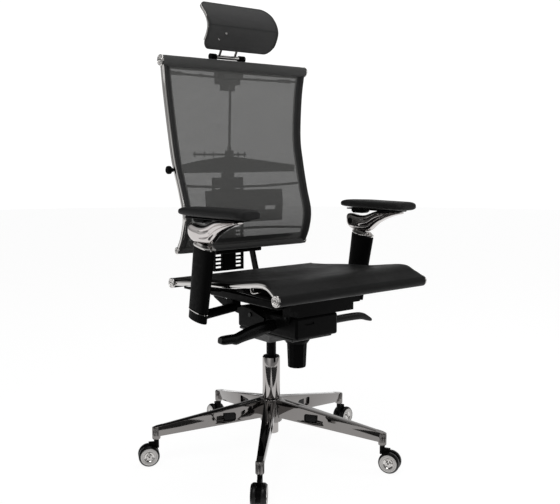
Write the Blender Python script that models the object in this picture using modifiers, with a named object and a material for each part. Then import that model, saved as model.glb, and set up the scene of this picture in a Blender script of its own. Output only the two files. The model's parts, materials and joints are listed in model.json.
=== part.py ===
"""Swivel office chair: five-leg base on casters, gas column, synchro mechanism, sling seat on chrome
rails, adjustable arms, mesh backrest on a height rack, and a tilting headrest.

Metres, +Z up. The chair faces -Y and the sitter's left is +X. Pieces are modelled about the gas
column's axis, and the whole chair hangs from an empty that puts the middle of its outline at the
origin. Every moving piece hangs from an empty that lies on its joint's axis.
"""

import math

import bmesh
import bpy
from mathutils import Matrix, Vector

# Fits: the gap left between two pieces that touch, and the gap round a piece that turns or slides.
GAP = 0.0003
RUNNING = 0.0005

# The column's axis, measured from the middle of the chair's outline.
COLUMN_X = -0.014
COLUMN_Y = -0.015

# Star base
LEG_COUNT = 5
LEG_REACH = 0.335
FIRST_LEG_ANGLE = math.radians(-43.64)
LEG_ROOT_TOP = 0.170
LEG_ROOT_BOTTOM = 0.118
LEG_TIP_TOP = 0.1115
LEG_TIP_BOTTOM = 0.083
LEG_ROOT_WIDTH = 0.036
LEG_TIP_WIDTH = 0.018
LEG_WINDOW = (0.108, 0.164)
LEG_SLOT = (0.046, 0.088)
HUB_RADIUS = 0.032
HUB_TOP = 0.173
HUB_BOTTOM = 0.103
SOCKET_RADIUS = 0.011
SOCKET_TOP = 0.110
SOCKET_BOTTOM = 0.0755

# Casters
WHEEL_RADIUS = 0.030
CASTER_WIDTH = 0.043
CASTER_TRAIL = 0.022
WHEEL_GAP = 0.012
AXLE_RADIUS = 0.003
STEM_RADIUS = 0.0055
NECK_RADIUS = 0.0072

# Column
TUBE_RADIUS = 0.0255
TUBE_TOP = 0.2955
TUBE_NECK_RADIUS = 0.021
TUBE_BOTTOM = 0.070
CYLINDER_RADIUS = 0.014
CYLINDER_TOP = 0.402
CYLINDER_BOTTOM = 0.125
ROD_RADIUS = 0.005
ROD_TOP = 0.250

# Mechanism
HOUSING_HALF = 0.075
HOUSING_FRONT = -0.200
HOUSING_REAR = 0.060
HOUSING_TOP = 0.446
HOUSING_BOTTOM = 0.386
HOUSING_WALL = 0.005
COVER_BOTTOM = 0.348
SEAT_PIVOT = (-0.165, 0.440)
RECLINE_PIVOT = (-0.020, 0.432)
SHAFT_RADIUS = 0.006
KNOB_Y = -0.115
KNOB_BOTTOM = 0.288
KNOB_RADIUS = 0.0275
KNOB_COLLAR_RADIUS = 0.036
KNOB_SCREW_RADIUS = 0.006
LEVER_ROOT_X = 0.087
LEVER_THICKNESS = 0.022
LIFT_LEVER_Y = -0.113
TILT_LEVER_Y = -0.150

# Seat
RAIL_X = 0.2475
RAIL_RADIUS = 0.008
SEAT_PLATE_TOP = 0.500
SEAT_PLATE_BOTTOM = 0.478
SEAT_PLATE_HALF = 0.145
SEAT_ARM_PLACES = (-0.185, 0.060)
SEAT_TUBE_RADIUS = 0.0095
SEAT_REAR = (0.120, 0.521)
SEAT_FRONT = (-0.341, 0.533)
SLING_THICKNESS = 0.0035
SLING_SAG = 0.006

# Arms
ARM_X = 0.285
POST_FOOT = (-0.045, 0.428)
POST_LEAN = math.radians(10.25)
POST_HALF = (0.0145, 0.0375)
FOOT_START = 0.019
FOOT_END = 0.042
SLEEVE_START = 0.0455
SLEEVE_LENGTH = 0.169
STUB_LENGTH = 0.150
SLEEVE_WALL = 0.0045
SLEEVE_END_WALL = 0.0075
ARM_BAR_Z = 0.4545
ARM_BAR_HALF = 0.011
ARM_RISER_X = 0.129
BRACKET_HALF = 0.015
PAD_BOTTOM = 0.7188
PAD_THICKNESS = 0.026
PAD_FRONT = -0.110
PAD_LENGTH = 0.267
PAD_WIDTH = 0.085
PAD_PIVOT_Y = -0.165
PAD_TOE_IN = math.radians(3.0)

# Backrest
BACK_TUBE_RADIUS = 0.0078
BACK_TOP = (0.159, 1.133)
BACK_BOTTOM = (0.127, 0.609)
TOP_ROLL_RADIUS = 0.0155
TOP_CAP_X = 0.2625
BOTTOM_CAP_X = 0.2385
CAP_LENGTH = 0.0188
BOTTOM_ROLL_RADIUS = 0.009
MESH_THICKNESS = 0.003
RACK_HALF = 0.055
RACK_Y = 0.2100
RACK_THICKNESS = 0.010
RACK_BOTTOM = 0.525
RACK_TOP = 0.822
RUNG_PITCH = 0.012
CARRIER_BOTTOM = 0.585
CARRIER_TOP = 0.620
RECLINE_ARM_X = 0.0875
RECLINE_ARM_THICKNESS = 0.008
WING_HALF = 0.212
BRACKET_HALF_WIDTH = 0.041
LUMBAR_HALF = 0.140
LUMBAR_BOTTOM = 0.678
LUMBAR_TOP = 0.773
LUMBAR_FRONT = 0.1165
LUMBAR_PIN_RADIUS = 0.006
LUMBAR_KNOB_RADIUS = 0.0115

# Headrest
HEAD_HINGE = (0.208, 1.1625)
HEAD_HALF = 0.124
HEAD_THICKNESS = 0.008
HEAD_CORNER = 0.026
HEAD_STEM_BOTTOM = 1.066
BLOCK_RADIUS = 0.009
BAR_RADIUS = 0.005

MATERIALS = {
    "chrome": ((0.66, 0.64, 0.62), 0.12, 1.0),
    "black_steel": ((0.015, 0.015, 0.016), 0.40, 0.4),
    "black_plastic": ((0.018, 0.018, 0.019), 0.45, 0.0),
    "grey_plastic": ((0.055, 0.055, 0.055), 0.50, 0.0),
    "rubber": ((0.012, 0.012, 0.013), 0.70, 0.0),
    "leather": ((0.030, 0.030, 0.030), 0.55, 0.0),
    "mesh": ((0.045, 0.045, 0.045), 0.80, 0.0),
}

PARTS = None
CUTTERS = None
PIVOTS = {}


# ---------------------------------------------------------------- scene set-up and helpers

def clear_scene():
    for obj in list(bpy.data.objects):
        bpy.data.objects.remove(obj, do_unlink=True)


def new_collection(name):
    collection = bpy.data.collections.new(name)
    bpy.context.scene.collection.children.link(collection)
    return collection


def make_materials():
    """One Principled material for each surface."""
    for name, (colour, roughness, metallic) in MATERIALS.items():
        material = bpy.data.materials.new(name)
        material.use_nodes = True
        shader = material.node_tree.nodes["Principled BSDF"]
        shader.inputs["Base Color"].default_value = (*colour, 1.0)
        shader.inputs["Roughness"].default_value = roughness
        shader.inputs["Metallic"].default_value = metallic


def pivot(name, place, parent=None):
    """An empty at a place given about the column's axis, hung from another empty."""
    empty = bpy.data.objects.new(name, None)
    PARTS.objects.link(empty)
    empty.empty_display_size = 0.03
    PIVOTS[name] = Vector(place)
    empty.location = Vector(place)
    if parent is not None:
        empty.parent = bpy.data.objects[parent]
        empty.location -= PIVOTS[parent]


def hang(obj, parent):
    """Hang an object, placed about the column's axis, from an empty without moving it."""
    obj.parent = bpy.data.objects[parent]
    obj.location -= PIVOTS[parent]


def solid(name, mesh, place=(0.0, 0.0, 0.0), rotation=None):
    obj = bpy.data.objects.new(name, mesh)
    PARTS.objects.link(obj)
    obj.location = place
    if rotation is not None:
        obj.rotation_euler = rotation.to_euler()
    return obj


def part(obj, material, parent):
    """Finish a sub-part: its material, its shading and the empty it moves with."""
    obj.data.materials.clear()
    obj.data.materials.append(bpy.data.materials[material])
    obj.data.shade_smooth()
    obj.data.set_sharp_from_angle(angle=math.radians(35))
    hang(obj, parent)
    for tool in [m.object for m in obj.modifiers if m.type == "BOOLEAN"]:
        hang(tool, parent)
    return obj


def mesh_from(build):
    """A mesh made by a function that fills a bmesh."""
    mesh = bpy.data.meshes.new("mesh")
    bm = bmesh.new()
    build(bm)
    bmesh.ops.recalc_face_normals(bm, faces=bm.faces)
    bm.to_mesh(mesh)
    bm.free()
    return mesh


def box(name, low, high, bevel=0.0, segments=2):
    """A box between two corners, with rounded edges where a bevel is given."""
    low = Vector(low)
    high = Vector(high)
    size = Matrix.Diagonal((*(high - low), 1.0))
    mesh = mesh_from(lambda bm: bmesh.ops.create_cube(bm, size=1.0, matrix=size))
    obj = solid(name, mesh, (low + high) / 2)
    if bevel:
        rounding = obj.modifiers.new("rounding", "BEVEL")
        rounding.width = bevel
        rounding.segments = segments
        rounding.limit_method = "ANGLE"
    return obj


def taper_box(name, low, high, top_low, top_high):
    """A box whose upper face has its own corners in X and Y."""
    obj = box(name, low, high)
    centre = obj.location
    for vertex in obj.data.vertices:
        x_low = vertex.co.x < 0
        y_low = vertex.co.y < 0
        if vertex.co.z > 0:
            vertex.co.x = (top_low[0] if x_low else top_high[0]) - centre.x
            vertex.co.y = (top_low[1] if y_low else top_high[1]) - centre.y
    return obj


def cylinder(name, radius, start, end, sides=20, end_radius=None):
    """A round bar or cone between two points."""
    start = Vector(start)
    end = Vector(end)
    length = (end - start).length
    mesh = mesh_from(lambda bm: bmesh.ops.create_cone(
        bm, cap_ends=True, segments=sides, radius1=radius,
        radius2=radius if end_radius is None else end_radius, depth=length))
    turn = Vector((0, 0, 1)).rotation_difference(end - start)
    return solid(name, mesh, (start + end) / 2, turn)


def turned(name, profile, place, turn=None, steps=20, closed=False):
    """A turned piece: (radius, height) points down its outer side, spun by a Screw modifier."""
    mesh = bpy.data.meshes.new(name)
    edges = [(i, i + 1) for i in range(len(profile) - 1)]
    if closed:
        edges.append((len(profile) - 1, 0))
    mesh.from_pydata([(r, 0.0, z) for r, z in profile], edges, [])
    obj = solid(name, mesh, place, turn)
    spin = obj.modifiers.new("spin", "SCREW")
    spin.steps = steps
    spin.render_steps = steps
    spin.use_merge_vertices = True
    spin.merge_threshold = 0.00001
    return obj


def curve_mesh(name, curve):
    """A curve's evaluated surface as a welded mesh object, with the curve removed."""
    source = bpy.data.objects.new(name + "_curve", curve)
    PARTS.objects.link(source)
    bpy.context.view_layer.update()
    evaluated = source.evaluated_get(bpy.context.evaluated_depsgraph_get())
    mesh = bpy.data.meshes.new_from_object(evaluated)
    bm = bmesh.new()
    bm.from_mesh(mesh)
    bmesh.ops.remove_doubles(bm, verts=bm.verts, dist=0.00005)
    bmesh.ops.recalc_face_normals(bm, faces=bm.faces)
    bm.to_mesh(mesh)
    bm.free()
    bpy.data.objects.remove(source, do_unlink=True)
    return solid(name, mesh)


def tube(name, points, radius, resolution=1):
    """A round tube along points."""
    curve = bpy.data.curves.new(name, "CURVE")
    curve.dimensions = "3D"
    curve.bevel_depth = radius
    curve.bevel_resolution = resolution
    curve.use_fill_caps = True
    spline = curve.splines.new("POLY")
    spline.points.add(len(points) - 1)
    for point, place in zip(spline.points, points):
        point.co = (*place, 1.0)
    return curve_mesh(name, curve)


def side_plate(name, outline, x, thickness):
    """A flat plate in a YZ plane: its (y, z) outline, extruded evenly about x."""
    curve = bpy.data.curves.new(name, "CURVE")
    curve.dimensions = "2D"
    curve.fill_mode = "BOTH"
    curve.extrude = thickness / 2
    spline = curve.splines.new("POLY")
    spline.use_cyclic_u = True
    spline.points.add(len(outline) - 1)
    for point, (y, z) in zip(spline.points, outline):
        point.co = (y, z, 0.0, 1.0)
    obj = curve_mesh(name, curve)
    stand = Matrix(((0, 0, 1, 0), (1, 0, 0, 0), (0, 1, 0, 0), (0, 0, 0, 1)))
    obj.data.transform(stand)
    obj.location.x = x
    return obj


def sheet(name, rows, thickness):
    """A shell: rows of points made an open surface, thickened evenly to both sides."""
    def build(bm):
        grid = [[bm.verts.new(p) for p in row] for row in rows]
        for upper, lower in zip(grid, grid[1:]):
            for i in range(len(upper) - 1):
                bm.faces.new((upper[i], upper[i + 1], lower[i + 1], lower[i]))
    obj = solid(name, mesh_from(build))
    shell = obj.modifiers.new("shell", "SOLIDIFY")
    shell.thickness = thickness
    shell.offset = 0.0
    shell.use_even_offset = True
    return obj


def smooth_path(points, count):
    """Points on a Catmull-Rom curve through the given ones, the same number in each span."""
    points = [Vector(p) for p in points]
    ends = [2 * points[0] - points[1]] + points + [2 * points[-1] - points[-2]]
    path = []
    for i in range(1, len(ends) - 2):
        a, b, c, d = ends[i - 1:i + 3]
        for step in range(count):
            t = step / count
            path.append(0.5 * (2 * b + (c - a) * t + (2 * a - 5 * b + 4 * c - d) * t ** 2
                               + (3 * b - a - 3 * c + d) * t ** 3))
    path.append(points[-1])
    return path


def bar_outline(line, half_widths):
    """The outline of a bar of changing width along a (y, z) centre line."""
    left = []
    right = []
    for i, (point, half) in enumerate(zip(line, half_widths)):
        before = Vector(line[max(i - 1, 0)])
        after = Vector(line[min(i + 1, len(line) - 1)])
        along = (after - before).normalized()
        side = Vector((-along.y, along.x)) * half
        left.append(tuple(Vector(point) + side))
        right.append(tuple(Vector(point) - side))
    return left + right[::-1]


def boolean(obj, operation, *tools):
    """Join tools to an object or cut them from it, and put them among the cutters."""
    for tool in tools:
        step = obj.modifiers.new(operation.lower(), "BOOLEAN")
        step.operation = operation
        step.solver = "EXACT"
        step.object = tool
        PARTS.objects.unlink(tool)
        CUTTERS.objects.link(tool)
        tool.hide_render = True
        tool.display_type = "WIRE"


def mesh_of(obj):
    """Turn an object's modifiers into its own mesh, so that it can be used in another piece."""
    bpy.context.view_layer.update()
    evaluated = obj.evaluated_get(bpy.context.evaluated_depsgraph_get())
    mesh = bpy.data.meshes.new_from_object(evaluated)
    tools = [m.object for m in obj.modifiers if m.type == "BOOLEAN"]
    obj.modifiers.clear()
    obj.data = mesh
    for tool in tools:
        bpy.data.objects.remove(tool, do_unlink=True)
    return obj


def on_both_sides():
    return (("left", 1), ("right", -1))


# ---------------------------------------------------------------- base, column and casters

def leg_direction(index):
    angle = FIRST_LEG_ANGLE + 2 * math.pi * index / LEG_COUNT
    return Vector((math.sin(angle), -math.cos(angle), 0.0))


def leg_height(radius, root, tip):
    """A leg's top or bottom height at a radius, between its root and its tip."""
    share = (radius - HUB_RADIUS) / (LEG_REACH - HUB_RADIUS)
    return root + (tip - root) * share


def make_leg(index):
    """A tapered leg, with a window through its side, a slot by the hub and a caster socket."""
    start = HUB_RADIUS - 0.008
    leg = box("leg", (start, -0.5, 0.0), (LEG_REACH, 0.5, 1.0))
    for vertex in leg.data.vertices:
        outer = vertex.co.x > 0
        radius = LEG_REACH if outer else start
        width = LEG_TIP_WIDTH if outer else LEG_ROOT_WIDTH
        vertex.co.y = math.copysign(width / 2, vertex.co.y)
        if vertex.co.z > 0:
            vertex.co.z = leg_height(radius, LEG_ROOT_TOP, LEG_TIP_TOP) - leg.location.z
        else:
            vertex.co.z = leg_height(radius, LEG_ROOT_BOTTOM, LEG_TIP_BOTTOM) - leg.location.z
    rounding = leg.modifiers.new("rounding", "BEVEL")
    rounding.width = 0.0025
    rounding.segments = 1
    middle = sum(LEG_WINDOW) / 2
    top = leg_height(middle, LEG_ROOT_TOP, LEG_TIP_TOP)
    bottom = leg_height(middle, LEG_ROOT_BOTTOM, LEG_TIP_BOTTOM)
    window = box("window", (LEG_WINDOW[0], -0.03, bottom + 0.009),
                 (LEG_WINDOW[1], 0.03, top - 0.010), 0.007, 2)
    slot = box("slot", (LEG_SLOT[0], -0.0035, 0.08), (LEG_SLOT[1], 0.0035, 0.20))
    boolean(leg, "DIFFERENCE", window, slot)
    socket = cylinder("socket", SOCKET_RADIUS, (LEG_REACH, 0, SOCKET_BOTTOM),
                      (LEG_REACH, 0, SOCKET_TOP), 16)
    boolean(leg, "UNION", socket)
    mesh_of(leg)
    direction = leg_direction(index)
    turn = Matrix.Rotation(math.atan2(direction.y, direction.x), 4, "Z")
    leg.data.transform(turn @ Matrix.Translation(leg.location))
    leg.location = (0, 0, 0)
    return leg


def make_star_base():
    rib = 0.004
    hub = turned("star_base", [
        (0.0, HUB_TOP), (HUB_RADIUS - 0.003, HUB_TOP), (HUB_RADIUS, HUB_TOP - rib),
        (HUB_RADIUS, HUB_BOTTOM + rib), (HUB_RADIUS - 0.003, HUB_BOTTOM), (0.0, HUB_BOTTOM)],
        (0, 0, 0), steps=20)
    boolean(hub, "UNION", *[make_leg(i) for i in range(LEG_COUNT)])
    bore = cylinder("hub_bore", TUBE_NECK_RADIUS + GAP, (0, 0, 0.05), (0, 0, 0.25), 24)
    stem_bores = []
    for i in range(LEG_COUNT):
        foot = leg_direction(i) * LEG_REACH
        start = foot + Vector((0, 0, SOCKET_BOTTOM - 0.01))
        end = foot + Vector((0, 0, SOCKET_TOP - 0.004))
        stem_bores.append(cylinder("stem_bore", STEM_RADIUS + RUNNING, start, end, 12))
    boolean(hub, "DIFFERENCE", bore, *stem_bores)
    part(hub, "chrome", "chair")


def make_column():
    """The outer tube in the hub, the rod clipped to its foot and the cylinder that slides on it."""
    bore = CYLINDER_RADIUS + RUNNING
    rod_hole = ROD_RADIUS + GAP
    floor = TUBE_BOTTOM + 0.008
    column = turned("column_tube", [
        (bore, TUBE_TOP), (TUBE_RADIUS - 0.001, TUBE_TOP), (TUBE_RADIUS, TUBE_TOP - 0.001),
        (TUBE_RADIUS, HUB_TOP + GAP), (TUBE_NECK_RADIUS, HUB_TOP + GAP),
        (TUBE_NECK_RADIUS, TUBE_BOTTOM), (rod_hole, TUBE_BOTTOM), (rod_hole, floor),
        (bore, floor)], (0, 0, 0), steps=24, closed=True)
    part(column, "chrome", "chair")
    rod = cylinder("piston_rod", ROD_RADIUS, (0, 0, TUBE_BOTTOM - 0.005), (0, 0, ROD_TOP), 16)
    part(rod, "chrome", "chair")
    clip = turned("column_foot_clip", [
        (rod_hole, TUBE_BOTTOM - GAP), (0.012, TUBE_BOTTOM - GAP), (0.012, TUBE_BOTTOM - 0.003),
        (rod_hole, TUBE_BOTTOM - 0.003)], (0, 0, 0), steps=20, closed=True)
    part(clip, "black_steel", "chair")
    rod_clear = ROD_RADIUS + RUNNING
    cylinder_body = turned("gas_cylinder", [
        (0.0, CYLINDER_TOP), (CYLINDER_RADIUS - 0.001, CYLINDER_TOP),
        (CYLINDER_RADIUS, CYLINDER_TOP - 0.001), (CYLINDER_RADIUS, CYLINDER_BOTTOM),
        (rod_clear, CYLINDER_BOTTOM), (rod_clear, ROD_TOP + 0.065), (0.0, ROD_TOP + 0.070)],
        (0, 0, 0), steps=24)
    part(cylinder_body, "black_steel", "seat_lift")


def make_caster(index):
    """A stem and housing that swivel in the leg's socket, and a twin wheel on one axle."""
    name = f"caster_{index + 1}"
    direction = leg_direction(index)
    foot = direction * LEG_REACH
    hub = direction * (LEG_REACH + CASTER_TRAIL) + Vector((0, 0, WHEEL_RADIUS))
    across = Vector((-direction.y, direction.x, 0.0))
    pivot(name + "_swivel", foot + Vector((0, 0, SOCKET_BOTTOM)), "chair")
    pivot(name + "_spin", hub, name + "_swivel")

    cheek_half = WHEEL_GAP / 2 - RUNNING
    housing = cylinder(name + "_housing", 0.024, hub - across * cheek_half,
                       hub + across * cheek_half, 20)
    neck_top = SOCKET_BOTTOM - RUNNING
    neck = cylinder("neck", NECK_RADIUS, foot + Vector((0, 0, 0.050)),
                    foot + Vector((0, 0, neck_top)), 16)
    web = box("web", (-CASTER_TRAIL, -cheek_half, WHEEL_RADIUS),
              (0.0, cheek_half, neck_top - 0.008), 0.0)
    turn = Matrix.Rotation(math.atan2(direction.y, direction.x), 4, "Z")
    web.data.transform(Matrix.Translation(web.location - Vector((0, 0, WHEEL_RADIUS))))
    web.data.transform(turn)
    web.location = hub
    stem = cylinder("stem", STEM_RADIUS, foot + Vector((0, 0, neck_top - 0.010)),
                    foot + Vector((0, 0, SOCKET_TOP - 0.006)), 12)
    boolean(housing, "UNION", web, neck, stem)
    clear = WHEEL_RADIUS + 0.0015
    for side in (-1, 1):
        inner = hub + across * side * (WHEEL_GAP / 2 - RUNNING)
        room = cylinder("wheel_room", clear, inner, hub + across * side * 0.05, 24)
        boolean(housing, "DIFFERENCE", room)
    axle_bore = cylinder("axle_bore", AXLE_RADIUS + RUNNING, hub - across * 0.02,
                         hub + across * 0.02, 16)
    boolean(housing, "DIFFERENCE", axle_bore)
    part(housing, "black_plastic", name + "_swivel")

    half = CASTER_WIDTH / 2
    side = [(0.0, half - 0.006), (0.013, half - 0.006), (0.019, half - 0.001),
            (0.025, half), (WHEEL_RADIUS, half - 0.006), (WHEEL_RADIUS, WHEEL_GAP / 2),
            (AXLE_RADIUS, WHEEL_GAP / 2)]
    profile = side + [(r, -a) for r, a in reversed(side)]
    up = Vector((0, 0, 1))
    lay = Matrix((up, across.cross(up), across)).transposed()
    wheels = turned(name + "_wheels", profile, hub, lay, steps=16)
    part(wheels, "rubber", name + "_spin")


# ---------------------------------------------------------------- mechanism

def make_mechanism_housing():
    """An open cast pan with a boss for the gas cylinder, carried by the cylinder's top."""
    housing = box("mechanism_housing", (-HOUSING_HALF, HOUSING_FRONT, HOUSING_BOTTOM),
                  (HOUSING_HALF, HOUSING_REAR, HOUSING_TOP), 0.006, 2)
    inside = HOUSING_HALF - HOUSING_WALL
    pocket = box("pocket", (-inside, HOUSING_FRONT + HOUSING_WALL, HOUSING_BOTTOM + HOUSING_WALL),
                 (inside, HOUSING_REAR - HOUSING_WALL, HOUSING_TOP + 0.02))
    boss = cylinder("boss", 0.024, (0, 0, HOUSING_BOTTOM + 0.001), (0, 0, CYLINDER_TOP + 0.010), 24)
    screw_boss = cylinder("screw_boss", 0.013, (0, KNOB_Y, HOUSING_BOTTOM + 0.001),
                          (0, KNOB_Y, HOUSING_BOTTOM + 0.040), 20)
    boolean(housing, "DIFFERENCE", pocket)
    boolean(housing, "UNION", boss, screw_boss)
    bore = cylinder("cylinder_bore", CYLINDER_RADIUS + GAP, (0, 0, 0.35),
                    (0, 0, CYLINDER_TOP + GAP), 24)
    screw_bore = cylinder("screw_bore", KNOB_SCREW_RADIUS + RUNNING, (0, KNOB_Y, 0.35),
                          (0, KNOB_Y, HOUSING_BOTTOM + 0.035), 16)
    shafts = []
    for y, z in (SEAT_PIVOT, RECLINE_PIVOT):
        shafts.append(cylinder("shaft_bore", SHAFT_RADIUS + GAP, (-0.1, y, z), (0.1, y, z), 16))
    front_slot = box("front_slot", (-0.045, HOUSING_FRONT - 0.01, 0.424),
                     (-0.012, HOUSING_FRONT + 0.0025, 0.431))
    boolean(housing, "DIFFERENCE", bore, screw_bore, *shafts, front_slot)
    part(housing, "black_steel", "seat_swivel")


def make_mechanism_cover():
    """The plastic tray under the pan, drawn down to a neck round the gas cylinder."""
    top = HOUSING_BOTTOM - GAP
    tray = box("mechanism_cover", (-HOUSING_HALF + 0.003, HOUSING_FRONT + 0.020, top - 0.008),
               (HOUSING_HALF - 0.003, HOUSING_REAR - 0.002, top), 0.002, 1)
    neck = taper_box("neck", (-0.040, -0.042, COVER_BOTTOM), (0.040, 0.040, top - 0.004),
                     (-0.066, -0.074), (0.066, 0.054))
    boolean(tray, "UNION", neck)
    bore = cylinder("cover_bore", CYLINDER_RADIUS + RUNNING, (0, 0, 0.32), (0, 0, 0.42), 24)
    screw_bore = cylinder("cover_screw_bore", KNOB_SCREW_RADIUS + RUNNING, (0, KNOB_Y, 0.32),
                          (0, KNOB_Y, 0.42), 16)
    collar_room = cylinder("collar_room", KNOB_COLLAR_RADIUS + 0.001, (0, KNOB_Y, 0.32),
                           (0, KNOB_Y, top - 0.0075), 24)
    boolean(tray, "DIFFERENCE", bore, screw_bore, collar_room)
    part(tray, "grey_plastic", "seat_swivel")


def make_pivot_shafts():
    y, z = SEAT_PIVOT
    shaft = cylinder("seat_pivot_shaft", SHAFT_RADIUS, (-0.084, y, z), (0.084, y, z), 16)
    part(shaft, "chrome", "seat_swivel")
    y, z = RECLINE_PIVOT
    reach = RECLINE_ARM_X + RECLINE_ARM_THICKNESS / 2 + 0.003
    shaft = cylinder("recline_pivot_shaft", SHAFT_RADIUS, (-reach, y, z), (reach, y, z), 16)
    part(shaft, "chrome", "seat_swivel")


def lever_outline(side):
    """A lever seen from the front, as (x, z) points: a neck that swells into a curved paddle."""
    if side < 0:
        return [(0.079, 0.432), (0.105, 0.432), (0.135, 0.428), (0.181, 0.419), (0.211, 0.410),
                (0.245, 0.410), (0.262, 0.406), (0.262, 0.393), (0.250, 0.387), (0.219, 0.385),
                (0.209, 0.380), (0.181, 0.387), (0.140, 0.391), (0.105, 0.398), (0.079, 0.404)]
    return [(0.079, 0.424), (0.134, 0.424), (0.205, 0.423), (0.218, 0.420), (0.250, 0.401),
            (0.254, 0.393), (0.246, 0.391), (0.207, 0.401), (0.122, 0.402), (0.079, 0.402)]


def make_lever(name, side, y, joint):
    """A paddle lever beside the housing: it turns on a pin along Y at its root."""
    outline = lever_outline(side)
    plate = side_plate(name, outline, 0.0, LEVER_THICKNESS)
    plate.data.transform(Matrix(((0, side, 0, 0), (1, 0, 0, 0), (0, 0, 1, 0), (0, 0, 0, 1))))
    if side > 0:
        plate.data.flip_normals()
    plate.location = (0, y, 0)
    rounding = plate.modifiers.new("rounding", "BEVEL")
    rounding.width = 0.003
    rounding.segments = 2
    rounding.limit_method = "ANGLE"
    part(plate, "black_plastic", joint)


def make_tension_knob():
    """A twelve-sided grip under a wide collar, on a screw that runs up into the pan."""
    collar_top = HOUSING_BOTTOM - GAP - 0.0075 - RUNNING
    grip_top = collar_top - 0.021
    grip = cylinder("tension_knob", KNOB_RADIUS - 0.002, (0, KNOB_Y, KNOB_BOTTOM),
                    (0, KNOB_Y, grip_top + 0.001), 12, KNOB_RADIUS + 0.001)
    rounding = grip.modifiers.new("rounding", "BEVEL")
    rounding.width = 0.003
    rounding.segments = 2
    rounding.limit_method = "ANGLE"
    rounding.angle_limit = math.radians(50)
    collar = turned("collar", [
        (0.0, collar_top), (KNOB_COLLAR_RADIUS - 0.002, collar_top),
        (KNOB_COLLAR_RADIUS, collar_top - 0.003), (KNOB_COLLAR_RADIUS, collar_top - 0.012),
        (KNOB_COLLAR_RADIUS - 0.006, grip_top), (0.0, grip_top)], (0, KNOB_Y, 0), steps=24)
    screw = cylinder("screw", KNOB_SCREW_RADIUS, (0, KNOB_Y, collar_top - 0.002),
                     (0, KNOB_Y, HOUSING_BOTTOM + 0.030), 16)
    boolean(grip, "UNION", collar, screw)
    part(grip, "black_plastic", "tension_knob_turn")


# ---------------------------------------------------------------- seat

def rail_line():
    """The (y, z) centre line of a seat rail, from its rear end to its front end."""
    inner = [(-0.050, 0.539), (-0.150, 0.546), (-0.230, 0.557), (-0.275, 0.562), (-0.305, 0.557)]
    return smooth_path([SEAT_REAR] + inner + [SEAT_FRONT], 2)


def rail_height(y):
    """The height of a rail's centre line at a place along it."""
    line = rail_line()
    for rear, front in zip(line, line[1:]):
        if front.x <= y <= rear.x:
            return rear.y + (front.y - rear.y) * (rear.x - y) / (rear.x - front.x)
    return line[-1].y


def rail_underside(front, rear):
    """The height that stays clear under a rail all the way between two places along it."""
    slope_room = 0.0012
    return min(rail_height(front), rail_height(rear)) - RAIL_RADIUS - slope_room


def make_seat_rail(name, side):
    """A bent tube with a round cap at each end, where the cross tubes meet it."""
    line = rail_line()
    rail = tube(name, [(side * RAIL_X, y, z) for y, z in line], RAIL_RADIUS)
    inner = RAIL_X - RAIL_RADIUS + 0.001
    for y, z in (SEAT_REAR, SEAT_FRONT):
        cap = turned("cap", [
            (0.0, 0.0), (0.010, -0.0005), (0.0130, -0.003), (0.0145, -0.0055),
            (0.0145, -0.020), (0.0, -0.020)],
            (side * (inner + 0.0215), y, z),
            Vector((0, 0, 1)).rotation_difference(Vector((side, 0, 0))), 16)
        boolean(rail, "UNION", cap)
    part(rail, "chrome", "seat_tilt")


def make_seat_tubes():
    reach = RAIL_X - RAIL_RADIUS - GAP
    for name, (y, z) in (("seat_rear_tube", SEAT_REAR), ("seat_front_tube", SEAT_FRONT)):
        bar = cylinder(name, SEAT_TUBE_RADIUS, (-reach, y, z), (reach, y, z), 16)
        part(bar, "black_steel", "seat_tilt")


def wrap(centre, radius, start, end, count):
    """Points on an arc in the YZ plane, by angle from +Y towards +Z."""
    steps = [math.radians(start + (end - start) * i / count) for i in range(count + 1)]
    return [Vector((centre[0] + radius * math.cos(a), centre[1] + radius * math.sin(a)))
            for a in steps]


def make_seat_sling():
    """The seat's sling: round the rear tube, over the frame, and rolled round the front tube."""
    steps = 6
    half_step = math.radians(175 / steps / 2)
    reach = (SEAT_TUBE_RADIUS + 2 * GAP) / math.cos(half_step) + SLING_THICKNESS / 2
    top = [p + Vector((0.0, 0.009)) for p in rail_line()[2:-2]]
    rear = wrap(SEAT_REAR, reach, -90, 85, steps)
    front = wrap(SEAT_FRONT, reach, 115, 290, steps)
    half = RAIL_X - RAIL_RADIUS - 0.001
    columns = 4
    rows = []
    for i, point in enumerate(rear + top + front):
        share = min(max(i - len(rear), 0) / len(top), 1.0)
        sag = SLING_SAG * math.sin(math.pi * share)
        row = []
        for j in range(columns + 1):
            x = -1 + 2 * j / columns
            row.append((x * half, point.x, point.y - sag * (1 - x * x)))
        rows.append(row)
    sling = sheet("seat_sling", rows, SLING_THICKNESS)
    part(sling, "leather", "seat_tilt")


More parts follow.
